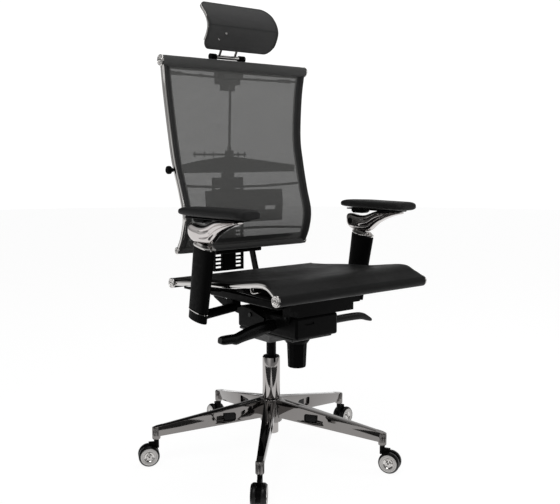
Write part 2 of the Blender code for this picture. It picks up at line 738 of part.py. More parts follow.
def make_seat_plate():
    """The plate that the pan tilts, with hinge ears at the front and four arms up to the rails."""
    plate = box("seat_plate", (-SEAT_PLATE_HALF, -0.205, SEAT_PLATE_BOTTOM),
                (SEAT_PLATE_HALF, 0.100, SEAT_PLATE_TOP), 0.003, 1)
    step = box("step", (-0.100, -0.235, 0.456), (0.100, -0.2015 - GAP, SEAT_PLATE_BOTTOM + 0.002))
    lip = box("lip", (-0.125, -0.235, SEAT_PLATE_BOTTOM - 0.002), (0.125, -0.200, SEAT_PLATE_TOP - 0.004))
    boolean(plate, "UNION", step, lip)
    y, z = SEAT_PIVOT
    ear_inner = HOUSING_HALF + RUNNING
    for side in (-1, 1):
        ear = cylinder("ear", 0.014, (side * ear_inner, y, z), (side * (ear_inner + 0.006), y, z), 20)
        web = box("web", (min(side * ear_inner, side * (ear_inner + 0.006)), y - 0.014, z),
                  (max(side * ear_inner, side * (ear_inner + 0.006)), y + 0.014,
                   SEAT_PLATE_BOTTOM + 0.002))
        boolean(plate, "UNION", ear, web)
        for end in SEAT_ARM_PLACES:
            tip = Vector((side * RAIL_X, end, rail_underside(end - 0.014, end + 0.014)))
            arm = box("arm", (-1, -0.014, -0.006), (1, 0.014, 0.0))
            for vertex in arm.data.vertices:
                if vertex.co.x * side > 0:
                    vertex.co = Vector((tip.x, vertex.co.y, vertex.co.z + tip.z))
                else:
                    vertex.co = Vector((side * 0.120, vertex.co.y,
                                        vertex.co.z + SEAT_PLATE_TOP - 0.004))
            arm.location.y = end
            boolean(plate, "UNION", arm)
    bolt = cylinder("pivot_bore", SHAFT_RADIUS + RUNNING, (-0.1, y, z), (0.1, y, z), 16)
    boolean(plate, "DIFFERENCE", bolt)
    part(plate, "black_steel", "seat_tilt")


# ---------------------------------------------------------------- arms

def lean(y_offset, along):
    """A (y, z) place beside the post's leaning centre line, at a length along it."""
    y, z = POST_FOOT
    return (y - along * math.sin(POST_LEAN) + y_offset * math.cos(POST_LEAN),
            z + along * math.cos(POST_LEAN) + y_offset * math.sin(POST_LEAN))


def oval(name, half, side, start, end, top_scale=1.0, sides=24):
    """An oval bar along the leaning post, between two lengths."""
    mesh = mesh_from(lambda bm: bmesh.ops.create_cone(
        bm, cap_ends=True, segments=sides, radius1=1.0, radius2=top_scale, depth=end - start))
    mesh.transform(Matrix.Diagonal((half[0], half[1], 1.0, 1.0)))
    y, z = lean(0.0, (start + end) / 2)
    return solid(name, mesh, (side * ARM_X, y, z), Matrix.Rotation(POST_LEAN, 3, "X"))


def make_arm_foot(name, side):
    """The bar under the seat, its base, and the inner post that the sleeve slides on."""
    base = oval(name, POST_HALF, side, FOOT_START, FOOT_END)
    stub_half = (POST_HALF[0] - SLEEVE_WALL, POST_HALF[1] - SLEEVE_END_WALL)
    stub = oval("stub", stub_half, side, (FOOT_START + FOOT_END) / 2, STUB_LENGTH)
    bar = box("bar", (-0.075, -0.015, -ARM_BAR_HALF), (0.090, 0.015, ARM_BAR_HALF), 0.008, 3)
    bar.location = (side * 0.205, -0.019, ARM_BAR_Z)
    bar.rotation_euler.z = -side * math.radians(18)
    riser = box("riser", (-0.014, -0.014, ARM_BAR_Z), (0.014, 0.014, SEAT_PLATE_BOTTOM - GAP))
    riser.location.x += side * ARM_RISER_X
    riser.location.y += 0.006
    boolean(base, "UNION", stub, bar, riser)
    part(base, "black_plastic", "seat_tilt")


def make_arm_post(name, side, joint):
    """The oval sleeve, open below, that slides on the inner post."""
    sleeve = oval(name, POST_HALF, side, SLEEVE_START, SLEEVE_START + SLEEVE_LENGTH, 1.10)
    clear = (POST_HALF[0] - SLEEVE_WALL + 2 * RUNNING, POST_HALF[1] - SLEEVE_END_WALL + 2 * RUNNING)
    hollow = oval("hollow", clear, side, FOOT_START, STUB_LENGTH + 0.010)
    boolean(sleeve, "DIFFERENCE", hollow)
    part(sleeve, "black_plastic", joint)


def make_arm_bracket(name, side, joint):
    """The cast V that carries the pad forward of the post, on an oval collar."""
    collar_start = SLEEVE_START + SLEEVE_LENGTH + GAP
    outline = [(-0.026, 0.7000), (-0.021, 0.684), (-0.030, 0.664), (-0.048, 0.652),
               (-0.118, 0.652), (-0.135, 0.668), (-0.160, 0.684), (-0.200, 0.700),
               (-0.236, 0.7075), (-0.236, 0.7145), (-0.150, 0.7145), (-0.120, 0.708),
               (-0.092, 0.699), (-0.062, 0.697), (-0.038, 0.704)]
    casting = side_plate(name, outline, side * ARM_X, 2 * BRACKET_HALF)
    rounding = casting.modifiers.new("rounding", "BEVEL")
    rounding.width = 0.004
    rounding.segments = 2
    rounding.limit_method = "ANGLE"
    collar = oval("collar", (POST_HALF[0] + 0.0025, POST_HALF[1] + 0.003), side,
                  collar_start, collar_start + 0.010)
    boolean(casting, "UNION", collar)
    part(casting, "chrome", joint)


def pad_frame(side):
    """The pad's place and its turn about the swivel axis."""
    return (Vector((side * (ARM_X - 0.003), PAD_PIVOT_Y, 0.0)),
            Matrix.Rotation(-side * PAD_TOE_IN, 4, "Z"))


def make_arm_pad(side_name, side, joint):
    place, turn = pad_frame(side)
    top = PAD_BOTTOM - GAP
    plate = box("arm_pad_plate_" + side_name, (-0.025, -0.075, top - 0.0037),
                (0.025, 0.130, top), 0.0015, 1)
    pad = box("arm_pad_" + side_name, (-PAD_WIDTH / 2, PAD_FRONT, PAD_BOTTOM),
              (PAD_WIDTH / 2, PAD_FRONT + PAD_LENGTH, PAD_BOTTOM + PAD_THICKNESS), 0.0, 1)
    for vertex in pad.data.vertices:
        if vertex.co.y < 0:
            vertex.co.x *= 0.84
    corners = pad.modifiers.new("corners", "BEVEL")
    corners.width = 0.0115
    corners.segments = 3
    for obj, material in ((plate, "black_plastic"), (pad, "leather")):
        obj.data.transform(turn @ Matrix.Translation(obj.location))
        obj.location = place
        part(obj, material, joint)


# ---------------------------------------------------------------- backrest

def back_side_line():
    """The (half width, y, z) line of a backrest side tube, top to bottom."""
    bottom_y, bottom_z = BACK_BOTTOM
    top_y, top_z = BACK_TOP
    return smooth_path([
        (0.2524, top_y, top_z), (0.2434, 0.1620, 1.050), (0.2332, 0.1551, 0.930),
        (0.2310, 0.1392, 0.850), (0.2268, 0.1150, 0.770), (0.2268, 0.0965, 0.705),
        (0.2275, 0.1050, 0.652), (0.2285, bottom_y, bottom_z)], 2)


def back_at(height):
    """The side line's (half width, y) at a height."""
    line = back_side_line()
    for upper, lower in zip(line, line[1:]):
        if lower.z <= height <= upper.z:
            share = (height - lower.z) / (upper.z - lower.z)
            return lower.x + (upper.x - lower.x) * share, lower.y + (upper.y - lower.y) * share
    return line[0].x, line[0].y


def make_back_tube(name, side):
    """A side tube that ends in a round cap at the top roll and a small one at the bottom roll."""
    tube_obj = tube(name, [(side * p.x, p.y, p.z) for p in back_side_line()], BACK_TUBE_RADIUS)
    out = Vector((0, 0, 1)).rotation_difference(Vector((side, 0, 0)))
    for (y, z), radius, x in ((BACK_TOP, TOP_ROLL_RADIUS, TOP_CAP_X),
                              (BACK_BOTTOM, BOTTOM_ROLL_RADIUS + 0.001, BOTTOM_CAP_X)):
        cap = turned("cap", [
            (0.0, 0.0), (radius - 0.005, -0.0005), (radius - 0.002, -0.002),
            (radius, -0.0045), (radius, -CAP_LENGTH), (0.0, -CAP_LENGTH)],
            (side * x, y, z), out, 16)
        boolean(tube_obj, "UNION", cap)
    part(tube_obj, "chrome", "back_height")


def make_back_rolls():
    for name, (y, z), radius, cap in (
            ("back_top_roll", BACK_TOP, TOP_ROLL_RADIUS, TOP_CAP_X),
            ("back_bottom_roll", BACK_BOTTOM, BOTTOM_ROLL_RADIUS, BOTTOM_CAP_X)):
        reach = cap - CAP_LENGTH - 0.0010
        roll = cylinder(name, radius, (-reach, y, z), (reach, y, z), 20)
        part(roll, "leather", "back_height")


def make_back_mesh():
    """The see-through sheet between the side tubes, modelled as one thin shell."""
    top = BACK_TOP[1] - TOP_ROLL_RADIUS - 0.0010
    bottom = BACK_BOTTOM[1] + BOTTOM_ROLL_RADIUS + 0.0010
    count = 20
    rows = []
    for i in range(count + 1):
        z = top + (bottom - top) * i / count
        half, y = back_at(z)
        half -= BACK_TUBE_RADIUS + 0.0012
        rows.append([(half * k / 2, y, z) for k in range(-2, 3)])
    part(sheet("back_mesh", rows, MESH_THICKNESS), "mesh", "back_height")


def make_back_rack():
    """The ratchet rack down the middle, with a ladder of rungs each side and the lumbar guide."""
    half_depth = RACK_THICKNESS / 2
    rack = box("back_rack", (-RACK_HALF, RACK_Y - half_depth, RACK_BOTTOM),
               (RACK_HALF, RACK_Y + half_depth, 0.808))
    spine = box("spine", (-0.020, RACK_Y - half_depth - 0.001, RACK_BOTTOM),
                (0.020, RACK_Y + half_depth + 0.001, RACK_TOP))
    guide = box("guide", (-0.020, 0.155, 0.712), (0.020, RACK_Y, 0.740))
    rungs = int((0.800 - RACK_BOTTOM) / RUNG_PITCH) - 1
    for side in (-1, 1):
        window = box("rung_window", (-0.0125, RACK_Y - 0.02, RACK_BOTTOM + 0.008),
                     (0.0125, RACK_Y + 0.02, RACK_BOTTOM + 0.015))
        window.location.x = side * 0.0375
        rows = window.modifiers.new("rows", "ARRAY")
        rows.count = rungs
        rows.use_relative_offset = False
        rows.use_constant_offset = True
        rows.constant_offset_displace = (0, 0, RUNG_PITCH)
        boolean(rack, "DIFFERENCE", window)
    boolean(rack, "UNION", spine, guide)
    pin_bore = cylinder("pin_bore", LUMBAR_PIN_RADIUS + RUNNING, (0, 0.14, 0.726),
                        (0, RACK_Y - 0.010, 0.726), 16)
    boolean(rack, "DIFFERENCE", pin_bore)
    part(rack, "black_plastic", "back_height")


def make_recline_arms():
    """Two side bars from the pan's rear pivot, curved up behind the seat, joined by a cross bar."""
    line = [(-0.082, 0.425), (-0.020, 0.434), (0.045, 0.441), (0.110, 0.450), (0.150, 0.466),
            (0.174, 0.495), (0.190, 0.535), (0.204, 0.580), (0.208, 0.612)]
    halves = [0.006, 0.013, 0.012, 0.010, 0.010, 0.010, 0.010, 0.010, 0.010]
    outline = bar_outline(line, halves)
    bars = []
    for side in (-1, 1):
        bars.append(side_plate("recline_arms", outline, side * RECLINE_ARM_X, RECLINE_ARM_THICKNESS))
    arms, other = bars
    cross = box("cross", (-RECLINE_ARM_X, 0.146, 0.462), (RECLINE_ARM_X, 0.170, 0.474), 0.002, 1)
    boolean(arms, "UNION", other, cross)
    y, z = RECLINE_PIVOT
    bore = cylinder("recline_bore", SHAFT_RADIUS + RUNNING, (-0.1, y, z), (0.1, y, z), 16)
    boolean(arms, "DIFFERENCE", bore)
    part(arms, "black_steel", "back_recline")


def make_back_carrier():
    """The block between the recline arms that the rack slides through."""
    half = RECLINE_ARM_X - RECLINE_ARM_THICKNESS / 2 - GAP
    block = box("back_carrier", (-half, 0.150, CARRIER_BOTTOM), (half, 0.226, CARRIER_TOP), 0.003, 2)
    depth = RACK_THICKNESS / 2 + 0.001 + RUNNING
    slot = box("rack_slot", (-RACK_HALF - RUNNING, RACK_Y - depth, 0.5),
               (RACK_HALF + RUNNING, RACK_Y + depth, 0.7))
    relief = box("relief", (-0.060, 0.155, CARRIER_BOTTOM - 0.01),
                 (0.060, 0.196, CARRIER_TOP - 0.006))
    boolean(block, "DIFFERENCE", slot, relief)
    part(block, "black_plastic", "back_recline")


def make_back_wing():
    """The wing across the back: it joins the rack to both side tubes."""
    columns = 14
    rows = []
    for level in (0.0, 0.5, 1.0):
        row = []
        for i in range(columns + 1):
            x = -1 + 2 * i / columns
            top = 0.871 - 0.026 * abs(x) ** 1.3
            bottom = 0.8225 + 0.002 * abs(x)
            y = 0.2005 - 0.052 * x * x
            row.append((x * WING_HALF, y, top + (bottom - top) * level))
        rows.append(row)
    wing = sheet("back_wing", rows, 0.006)
    lug = box("lug", (-0.011, 0.194, 0.866), (0.011, 0.208, 0.889), 0.0)
    foot = box("foot", (-0.020, 0.2015, 0.8235), (0.020, 0.2160, 0.860), 0.0)
    boolean(wing, "UNION", lug, foot)
    part(wing, "black_plastic", "back_height")


def make_top_bracket():
    """The bracket behind the top roll: it holds the headrest's stem and the two tie rods."""
    bracket = box("top_bracket", (-BRACKET_HALF_WIDTH, 0.1965, 1.084),
                  (BRACKET_HALF_WIDTH, 0.2195, 1.122), 0.003, 2)
    neck_start = BACK_TOP[0] + TOP_ROLL_RADIUS + GAP
    neck = box("neck", (-0.034, neck_start, 1.124 - 0.026), (0.034, 0.200, 1.118), 0.0)
    boolean(bracket, "UNION", neck)
    stem_slot = box("stem_slot", (-0.025 - RUNNING, 0.204 - RUNNING, 1.05),
                    (0.025 + RUNNING, 0.212 + RUNNING, 1.14))
    boolean(bracket, "DIFFERENCE", stem_slot)
    part(bracket, "black_plastic", "back_height")


def make_cross_rods():
    """A tie rod each side, from the bracket out to the side tube, with a barrel near its end."""
    z = 1.103
    half, back_y = back_at(z)
    for name, side in (("tie_rod_left", 1), ("tie_rod_right", -1)):
        inner = Vector((side * (BRACKET_HALF_WIDTH + 0.0012), 0.203, z))
        outer = Vector((side * (half - 0.004), back_y + BACK_TUBE_RADIUS + 0.0042, z))
        rod = cylinder(name, 0.0032, inner, outer, 12)
        along = (outer - inner).normalized()
        for start in (0.028, 0.052):
            barrel_start = outer - along * (start + 0.016)
            barrel = cylinder("barrel", 0.0058, barrel_start, outer - along * start, 12)
            boolean(rod, "UNION", barrel)
        part(rod, "black_steel", "back_height")


def make_centre_rod():
    """The rod from the top bracket down to the wing, with a collar at each end."""
    top = Vector((0, 0.1940, 1.084 - 2 * GAP))
    bottom = Vector((0, 0.2010, 0.889 + 2 * GAP))
    rod = cylinder("centre_rod", 0.004, bottom, top, 12)
    along = (top - bottom).normalized()
    lower = cylinder("lower_collar", 0.0065, bottom, bottom + along * 0.010, 12)
    upper = cylinder("upper_collar", 0.0065, top - along * 0.012, top, 12)
    boolean(rod, "UNION", lower, upper)
    part(rod, "chrome", "back_height")


def make_lumbar_bands():
    """Two thin springs across the back, above and below the lumbar plate."""
    for name, side_z, dip in (("lumbar_band_upper", 0.790, -0.008), ("lumbar_band_lower", 0.652, 0.008)):
        half, y = back_at(side_z)
        half -= BACK_TUBE_RADIUS + 0.0025
        columns = 12
        rows = []
        for edge in (0.0035, -0.0035):
            row = []
            for i in range(columns + 1):
                x = -1 + 2 * i / columns
                bow = 1 - x * x
                row.append((x * half, y + 0.006 + 0.017 * bow, side_z + edge + dip * bow))
            rows.append(row)
        part(sheet(name, rows, 0.003), "black_steel", "back_height")


def make_lumbar_plate():
    """The lumbar pad: a curved plate on a pin that slides in the rack's guide."""
    columns = 10
    rows = []
    for level in (0.0, 0.5, 1.0):
        z = LUMBAR_TOP + (LUMBAR_BOTTOM - LUMBAR_TOP) * level
        row = []
        for i in range(columns + 1):
            x = -1 + 2 * i / columns
            y = LUMBAR_FRONT + 0.003 + 0.006 * (1 - x * x) + 0.004 * (2 * level - 1) ** 2
            row.append((x * LUMBAR_HALF, y, z))
        rows.append(row)
    plate = sheet("lumbar_plate", rows, 0.005)
    pin = cylinder("pin", LUMBAR_PIN_RADIUS, (0, LUMBAR_FRONT + 0.008, 0.726), (0, 0.188, 0.726), 16)
    boolean(plate, "UNION", pin)
    slot = box("slot", (0.075, 0.09, 0.712), (0.115, 0.15, 0.724))
    hole = cylinder("hole", 0.003, (0.045, 0.09, 0.718), (0.045, 0.15, 0.718), 12)
    boolean(plate, "DIFFERENCE", slot, hole)
    part(plate, "black_plastic", "lumbar_depth")


def make_lumbar_knob():
    """The knob on the right side tube that moves the lumbar plate."""
    half, y = back_at(0.834)
    inner = half + BACK_TUBE_RADIUS + 0.0010
    knob = turned("lumbar_knob", [
        (0.0, 0.0), (LUMBAR_KNOB_RADIUS - 0.002, 0.0), (LUMBAR_KNOB_RADIUS, -0.002),
        (LUMBAR_KNOB_RADIUS, -0.010), (LUMBAR_KNOB_RADIUS - 0.002, -0.012), (0.006, -0.012),
        (0.006, -0.020), (0.0, -0.020)], (-inner - 0.020, y, 0.834),
        Vector((0, 0, 1)).rotation_difference(Vector((-1, 0, 0))), 20)
    part(knob, "black_plastic", "lumbar_knob_turn")


# ---------------------------------------------------------------- headrest

def make_headrest_carrier():
    """The stem in the top bracket and the yoke whose two blocks hold the hinge bar."""
    y, z = HEAD_HINGE
    stem = box("headrest_carrier", (-0.025, 0.204, HEAD_STEM_BOTTOM), (0.025, 0.212, 1.145), 0.0)
    yoke = box("yoke", (-0.060, 0.2015, 1.1375), (0.060, 0.2145, 1.1460), 0.0)
    boolean(stem, "UNION", yoke)
    for side in (-1, 1):
        block = cylinder("block", BLOCK_RADIUS, (side * 0.042, y, z), (side * 0.062, y, z), 20)
        cheek = box("cheek", (-0.010, y - 0.007, 1.140), (0.010, y + 0.007, z))
        cheek.location.x = side * 0.052
        boolean(stem, "UNION", block, cheek)
    bore = cylinder("bar_bore", BAR_RADIUS + RUNNING, (-0.058, y, z), (0.058, y, z), 16)
    boolean(stem, "DIFFERENCE", bore)
    part(stem, "black_plastic", "headrest_height")


def make_headrest_bar():
    """The chrome hinge bar and the two uprights that hold the headrest."""
    y, z = HEAD_HINGE
    bar = cylinder("headrest_hinge_bar", BAR_RADIUS, (-0.057, y, z), (0.057, y, z), 16)
    for side in (-1, 1):
        upright = tube("upright", smooth_path([
            (side * 0.028, y, z), (side * 0.028, y - 0.003, z + 0.0105),
            (side * 0.028, 0.190, 1.196)], 3), 0.0035)
        boolean(bar, "UNION", upright)
    part(bar, "chrome", "headrest_tilt")


def head_line(height):
    """The headrest's y at a height: it bows forward between its two edges."""
    bottom, middle, top = (0.163, 1.177), (0.122, 1.236), (0.180, 1.308)
    if height < middle[1]:
        share = (middle[1] - height) / (middle[1] - bottom[1])
        return middle[0] + (bottom[0] - middle[0]) * share ** 1.8
    share = (height - middle[1]) / (top[1] - middle[1])
    return middle[0] + (top[0] - middle[0]) * share ** 1.8


def head_rows(low, high, half, corner, count, columns, back):
    """Rows of points over the headrest between two heights, with rounded corners."""
    rows = []
    for i in range(count + 1):
        z = high + (low - high) * i / count
        edge = min(z - low, high - z)
        inset = 0.0
        if edge < corner:
            inset = corner - math.sqrt(max(corner ** 2 - (corner - edge) ** 2, 0.0))
        width = half - inset
        rows.append([(width * (2 * k / columns - 1), head_line(z) + back, z)
                     for k in range(columns + 1)])
    return rows


def make_headrest():
    rows = head_rows(1.177, 1.308, HEAD_HALF, HEAD_CORNER, 12, 6, 0.0)
    pad = sheet("headrest_pad", rows, HEAD_THICKNESS)
    part(pad, "mesh", "headrest_tilt")
    back = HEAD_THICKNESS / 2 + 0.0125
    rows = head_rows(1.1855, 1.246, 0.060, 0.012, 6, 4, back)
    shell = sheet("headrest_shell", rows, 0.009)
    for side in (-1, 1):
        hole = cylinder("upright_hole", 0.0035 + 0.0007, (side * 0.028, 0.2005, 1.170),
                        (side * 0.028, 0.1885, 1.200), 12)
        boolean(shell, "DIFFERENCE", hole)
    part(shell, "black_plastic", "headrest_tilt")


# ---------------------------------------------------------------- assembly

def make_pivots():
    """The empties: one for the chair, and one on the axis of each moving piece."""
    pivot("chair", (0, 0, 0))
    pivot("seat_lift", (0, 0, TUBE_TOP), "chair")
    pivot("seat_swivel", (0, 0, COVER_BOTTOM), "seat_lift")
    pivot("back_recline", (0, *RECLINE_PIVOT), "seat_swivel")
    pivot("seat_tilt", (0, *SEAT_PIVOT), "seat_swivel")
    pivot("tension_knob_turn", (0, KNOB_Y, HOUSING_BOTTOM), "seat_swivel")
    pivot("lift_lever_turn", (-LEVER_ROOT_X, LIFT_LEVER_Y, 0.418), "seat_swivel")
    pivot("tilt_lever_turn", (LEVER_ROOT_X, TILT_LEVER_Y, 0.413), "seat_swivel")
    pivot("back_height", (0, RACK_Y, CARRIER_TOP), "back_recline")
    pivot("lumbar_depth", (0, LUMBAR_FRONT, 0.726), "back_height")
    half, y = back_at(0.834)
    pivot("lumbar_knob_turn", (-half, y, 0.834), "back_height")
    pivot("headrest_height", (0, HEAD_HINGE[0], 1.122), "back_height")
    pivot("headrest_tilt", (0, *HEAD_HINGE), "headrest_height")
    for side_name, side in on_both_sides():
        y, z = lean(0.0, 0.0375)
        pivot("arm_height_" + side_name, (side * ARM_X, y, z), "seat_tilt")
        place, _ = pad_frame(side)
        pivot("arm_pad_swivel_" + side_name, (place.x, place.y, PAD_BOTTOM), "arm_height_" + side_name)


def main():
    global PARTS, CUTTERS
    clear_scene()
    PARTS = new_collection("swivel_office_chair")
    CUTTERS = new_collection("cutters")
    make_materials()
    make_pivots()

    make_star_base()
    make_column()
    for index in range(LEG_COUNT):
        make_caster(index)

    make_mechanism_housing()
    make_mechanism_cover()
    make_pivot_shafts()
    make_lever("lift_lever", -1, LIFT_LEVER_Y, "lift_lever_turn")
    make_lever("tilt_lever", 1, TILT_LEVER_Y, "tilt_lever_turn")
    make_tension_knob()

    make_seat_sling()
    make_seat_tubes()
    make_seat_plate()
    for side_name, side in on_both_sides():
        make_seat_rail("seat_rail_" + side_name, side)
        make_arm_foot("arm_foot_" + side_name, side)
        make_arm_post("arm_post_" + side_name, side, "arm_height_" + side_name)
        make_arm_bracket("arm_bracket_" + side_name, side, "arm_height_" + side_name)
        make_arm_pad(side_name, side, "arm_pad_swivel_" + side_name)
        make_back_tube("back_tube_" + side_name, side)

    make_recline_arms()
    make_back_carrier()
    make_back_rack()
    make_back_rolls()
    make_back_mesh()
    make_back_wing()
    make_top_bracket()
    make_cross_rods()
    make_centre_rod()
    make_lumbar_bands()
    make_lumbar_plate()
    make_lumbar_knob()
    make_headrest_carrier()
    make_headrest_bar()
    make_headrest()

    bpy.data.objects["chair"].location = (COLUMN_X, COLUMN_Y, 0.0)


main()
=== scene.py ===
import json
import math

import bmesh
import bpy
from mathutils import Matrix, Vector, noise


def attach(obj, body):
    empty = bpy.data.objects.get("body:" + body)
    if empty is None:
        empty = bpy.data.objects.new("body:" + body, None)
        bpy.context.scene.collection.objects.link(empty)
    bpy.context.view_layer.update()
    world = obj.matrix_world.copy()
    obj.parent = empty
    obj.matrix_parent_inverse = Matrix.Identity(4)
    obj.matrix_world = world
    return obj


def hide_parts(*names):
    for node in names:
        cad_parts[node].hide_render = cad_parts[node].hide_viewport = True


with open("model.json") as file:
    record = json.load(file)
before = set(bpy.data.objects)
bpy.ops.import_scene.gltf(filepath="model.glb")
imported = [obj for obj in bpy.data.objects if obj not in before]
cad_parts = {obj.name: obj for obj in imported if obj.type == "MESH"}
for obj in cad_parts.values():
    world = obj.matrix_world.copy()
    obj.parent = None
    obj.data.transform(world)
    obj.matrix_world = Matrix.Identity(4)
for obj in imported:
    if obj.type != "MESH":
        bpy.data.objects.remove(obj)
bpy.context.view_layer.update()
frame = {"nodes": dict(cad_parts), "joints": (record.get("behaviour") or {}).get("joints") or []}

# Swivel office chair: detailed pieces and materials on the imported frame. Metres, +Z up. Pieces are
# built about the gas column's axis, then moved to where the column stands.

JOINTS = {joint["name"]: joint for joint in frame["joints"]}
COLUMN = Vector((*JOINTS["seat_swivel"]["pos_m"][:2], 0.0))
SIDES = (("left", 1), ("right", -1))

# Base, as the CAD has it
LEG_REACH = 0.335
LEG_ROOT = (0.118, 0.17)
LEG_TIP = (0.083, 0.1115)
LEG_WIDTHS = (0.036, 0.018)
HUB_RADIUS = 0.032
TUBE_RADIUS = 0.0255

# Seat rails, (y, z)
RAIL_X = 0.2475
RAIL_RADIUS = 0.008
SEAT_REAR = (0.12, 0.521)
SEAT_FRONT = (-0.341, 0.533)
RAIL_MIDDLE = [(-0.05, 0.539), (-0.15, 0.546), (-0.23, 0.557), (-0.275, 0.562), (-0.305, 0.557)]
SEAT_CAP_RADIUS = 0.0145
SLING_EDGE = 0.2538
SLING_THICK = 0.0036

# Arms
ARM_X = 0.285
POST_FOOT = (-0.045, 0.428)
POST_LEAN = math.radians(10.25)
POST_HALF = (0.0145, 0.0375)
SLEEVE_START = 0.0458
SLEEVE_END = 0.214
BAND_START = 0.0422
COLLAR_START = 0.2145
PAD_PIVOT_Y = -0.165
PAD_TOE_IN = math.radians(3.0)
PAD_REAR = 0.155
PAD_FRONT = -0.108

# Backrest side line, (half width, y, z)
BACK_LINE = [(0.2524, 0.159, 1.133), (0.2434, 0.162, 1.05), (0.2332, 0.1551, 0.93),
             (0.231, 0.1392, 0.85), (0.2268, 0.115, 0.77), (0.2268, 0.0965, 0.705),
             (0.2275, 0.105, 0.652), (0.2285, 0.127, 0.609)]
BACK_TOP = BACK_LINE[0][1:]
BACK_BOTTOM = BACK_LINE[-1][1:]
TOP_ROLL_RADIUS = 0.0155
BOTTOM_ROLL_RADIUS = 0.009
LUMBAR_Z = 0.7255
LUMBAR_KNOB_Z = 0.834
TIE_ROD_Z = 1.103

# Headrest
HEAD_LOW = 1.177
HEAD_HIGH = 1.308
HEAD_HALF = 0.124
HEAD_CORNER = 0.026
HEAD_HINGE = (0.208, 1.1625)

# Camera, and the level directions against its view and across it
CAMERA_PLACE = (-1.42995, -1.78766, 0.8705)
CAMERA_AZIMUTH = math.radians(-39.2925)
CAMERA_PITCH = math.radians(6.7459)
CAMERA_LENS = 51.795
TOWARDS_CAMERA = (-0.633, -0.774, 0.0)
ACROSS_VIEW = (0.774, -0.633, 0.0)

SKINS = {}


# ---------------------------------------------------------------- materials

def node(tree, kind, inputs=None, **settings):
    """A shader node: settings are its own options, and inputs are values or sockets to link."""
    made = tree.nodes.new(kind)
    for name, value in settings.items():
        setattr(made, name, value)
    for name, value in (inputs or {}).items():
        if isinstance(value, bpy.types.NodeSocket):
            tree.links.new(value, made.inputs[name])
        else:
            made.inputs[name].default_value = value
    return made


def calc(tree, operation, first, second=0.0, third=0.0):
    return node(tree, "ShaderNodeMath", {0: first, 1: second, 2: third}, operation=operation).outputs[0]


def ramp(tree, factor, stops):
    """A colour ramp through (place, grey or colour) stops."""
    made = node(tree, "ShaderNodeValToRGB", {"Fac": factor})
    elements = made.color_ramp.elements
    while len(elements) < len(stops):
        elements.new(0.5)
    for element, (place, colour) in zip(elements, stops):
        element.position = place
        if not isinstance(colour, tuple):
            colour = (colour, colour, colour)
        element.color = (*colour, 1.0)
    return made.outputs["Color"]


def speckle(tree, place, scale, detail=3.0, stretch=(1, 1, 1)):
    """Noise over the object's own coordinates, stretched along an axis where asked."""
    mapped = node(tree, "ShaderNodeMapping", {"Vector": place, "Scale": stretch}).outputs[0]
    inputs = {"Vector": mapped, "Scale": scale, "Detail": detail}
    return node(tree, "ShaderNodeTexNoise", inputs).outputs["Fac"]


def shaded(colour, amount):
    return tuple(min(c * amount, 1.0) for c in colour)


def new_material(name, roughness, metallic=0.0, **sockets):
    """A Principled material with its fixed values on the shader's own sockets."""
    material = bpy.data.materials.new(name)
    material.use_nodes = True
    tree = material.node_tree
    shader = tree.nodes["Principled BSDF"]
    shader.inputs["Roughness"].default_value = roughness
    shader.inputs["Metallic"].default_value = metallic
    for socket, value in sockets.items():
        shader.inputs[socket.replace("_", " ")].default_value = value
    place = node(tree, "ShaderNodeTexCoord").outputs["Object"]
    SKINS[name] = material
    return tree, shader, place


def colour_between(tree, shader, factor, colour, low=0.75, high=1.3):
    stops = [(0.3, shaded(colour, low)), (0.7, shaded(colour, high))]
    tree.links.new(ramp(tree, factor, stops), shader.inputs["Base Color"])


def rough_between(tree, shader, factor, low, high):
    tree.links.new(ramp(tree, factor, [(0.3, low), (0.7, high)]), shader.inputs["Roughness"])


def bumped(tree, shader, height, strength, distance, under=None):
    """A bump over an earlier one, linked as the shader's normal."""
    inputs = {"Height": height, "Strength": strength, "Distance": distance}
    if under is not None:
        inputs["Normal"] = under
    made = node(tree, "ShaderNodeBump", inputs).outputs["Normal"]
    tree.links.new(made, shader.inputs["Normal"])
    return made


def make_chrome(name, colour, low, high, waviness):
    """Polished plating: faint waviness from the casting, hairline marks and uneven gloss."""
    tree, shader, place = new_material(name, low, 1.0)
    colour_between(tree, shader, speckle(tree, place, 9.0), colour, 0.95, 1.04)
    rough_between(tree, shader, speckle(tree, place, 60.0, 4.0), low, high)
    wave = bumped(tree, shader, speckle(tree, place, 35.0, 1.0), waviness, 0.001)
    bumped(tree, shader, speckle(tree, place, 700.0, 2.0, (1, 1, 0.08)), 0.015, 0.0002, wave)


def make_hard(name, colour, low, high, grain, depth, **sockets):
    """Moulded plastic or powder coat: a fine skin texture and uneven gloss."""
    tree, shader, place = new_material(name, low, **sockets)
    colour_between(tree, shader, speckle(tree, place, 25.0), colour, 0.8, 1.25)
    rough_between(tree, shader, speckle(tree, place, 90.0), low, high)
    skin = bumped(tree, shader, speckle(tree, place, grain, 4.0), depth, 0.0004)
    bumped(tree, shader, speckle(tree, place, 14.0, 2.0), 0.04, 0.002, skin)


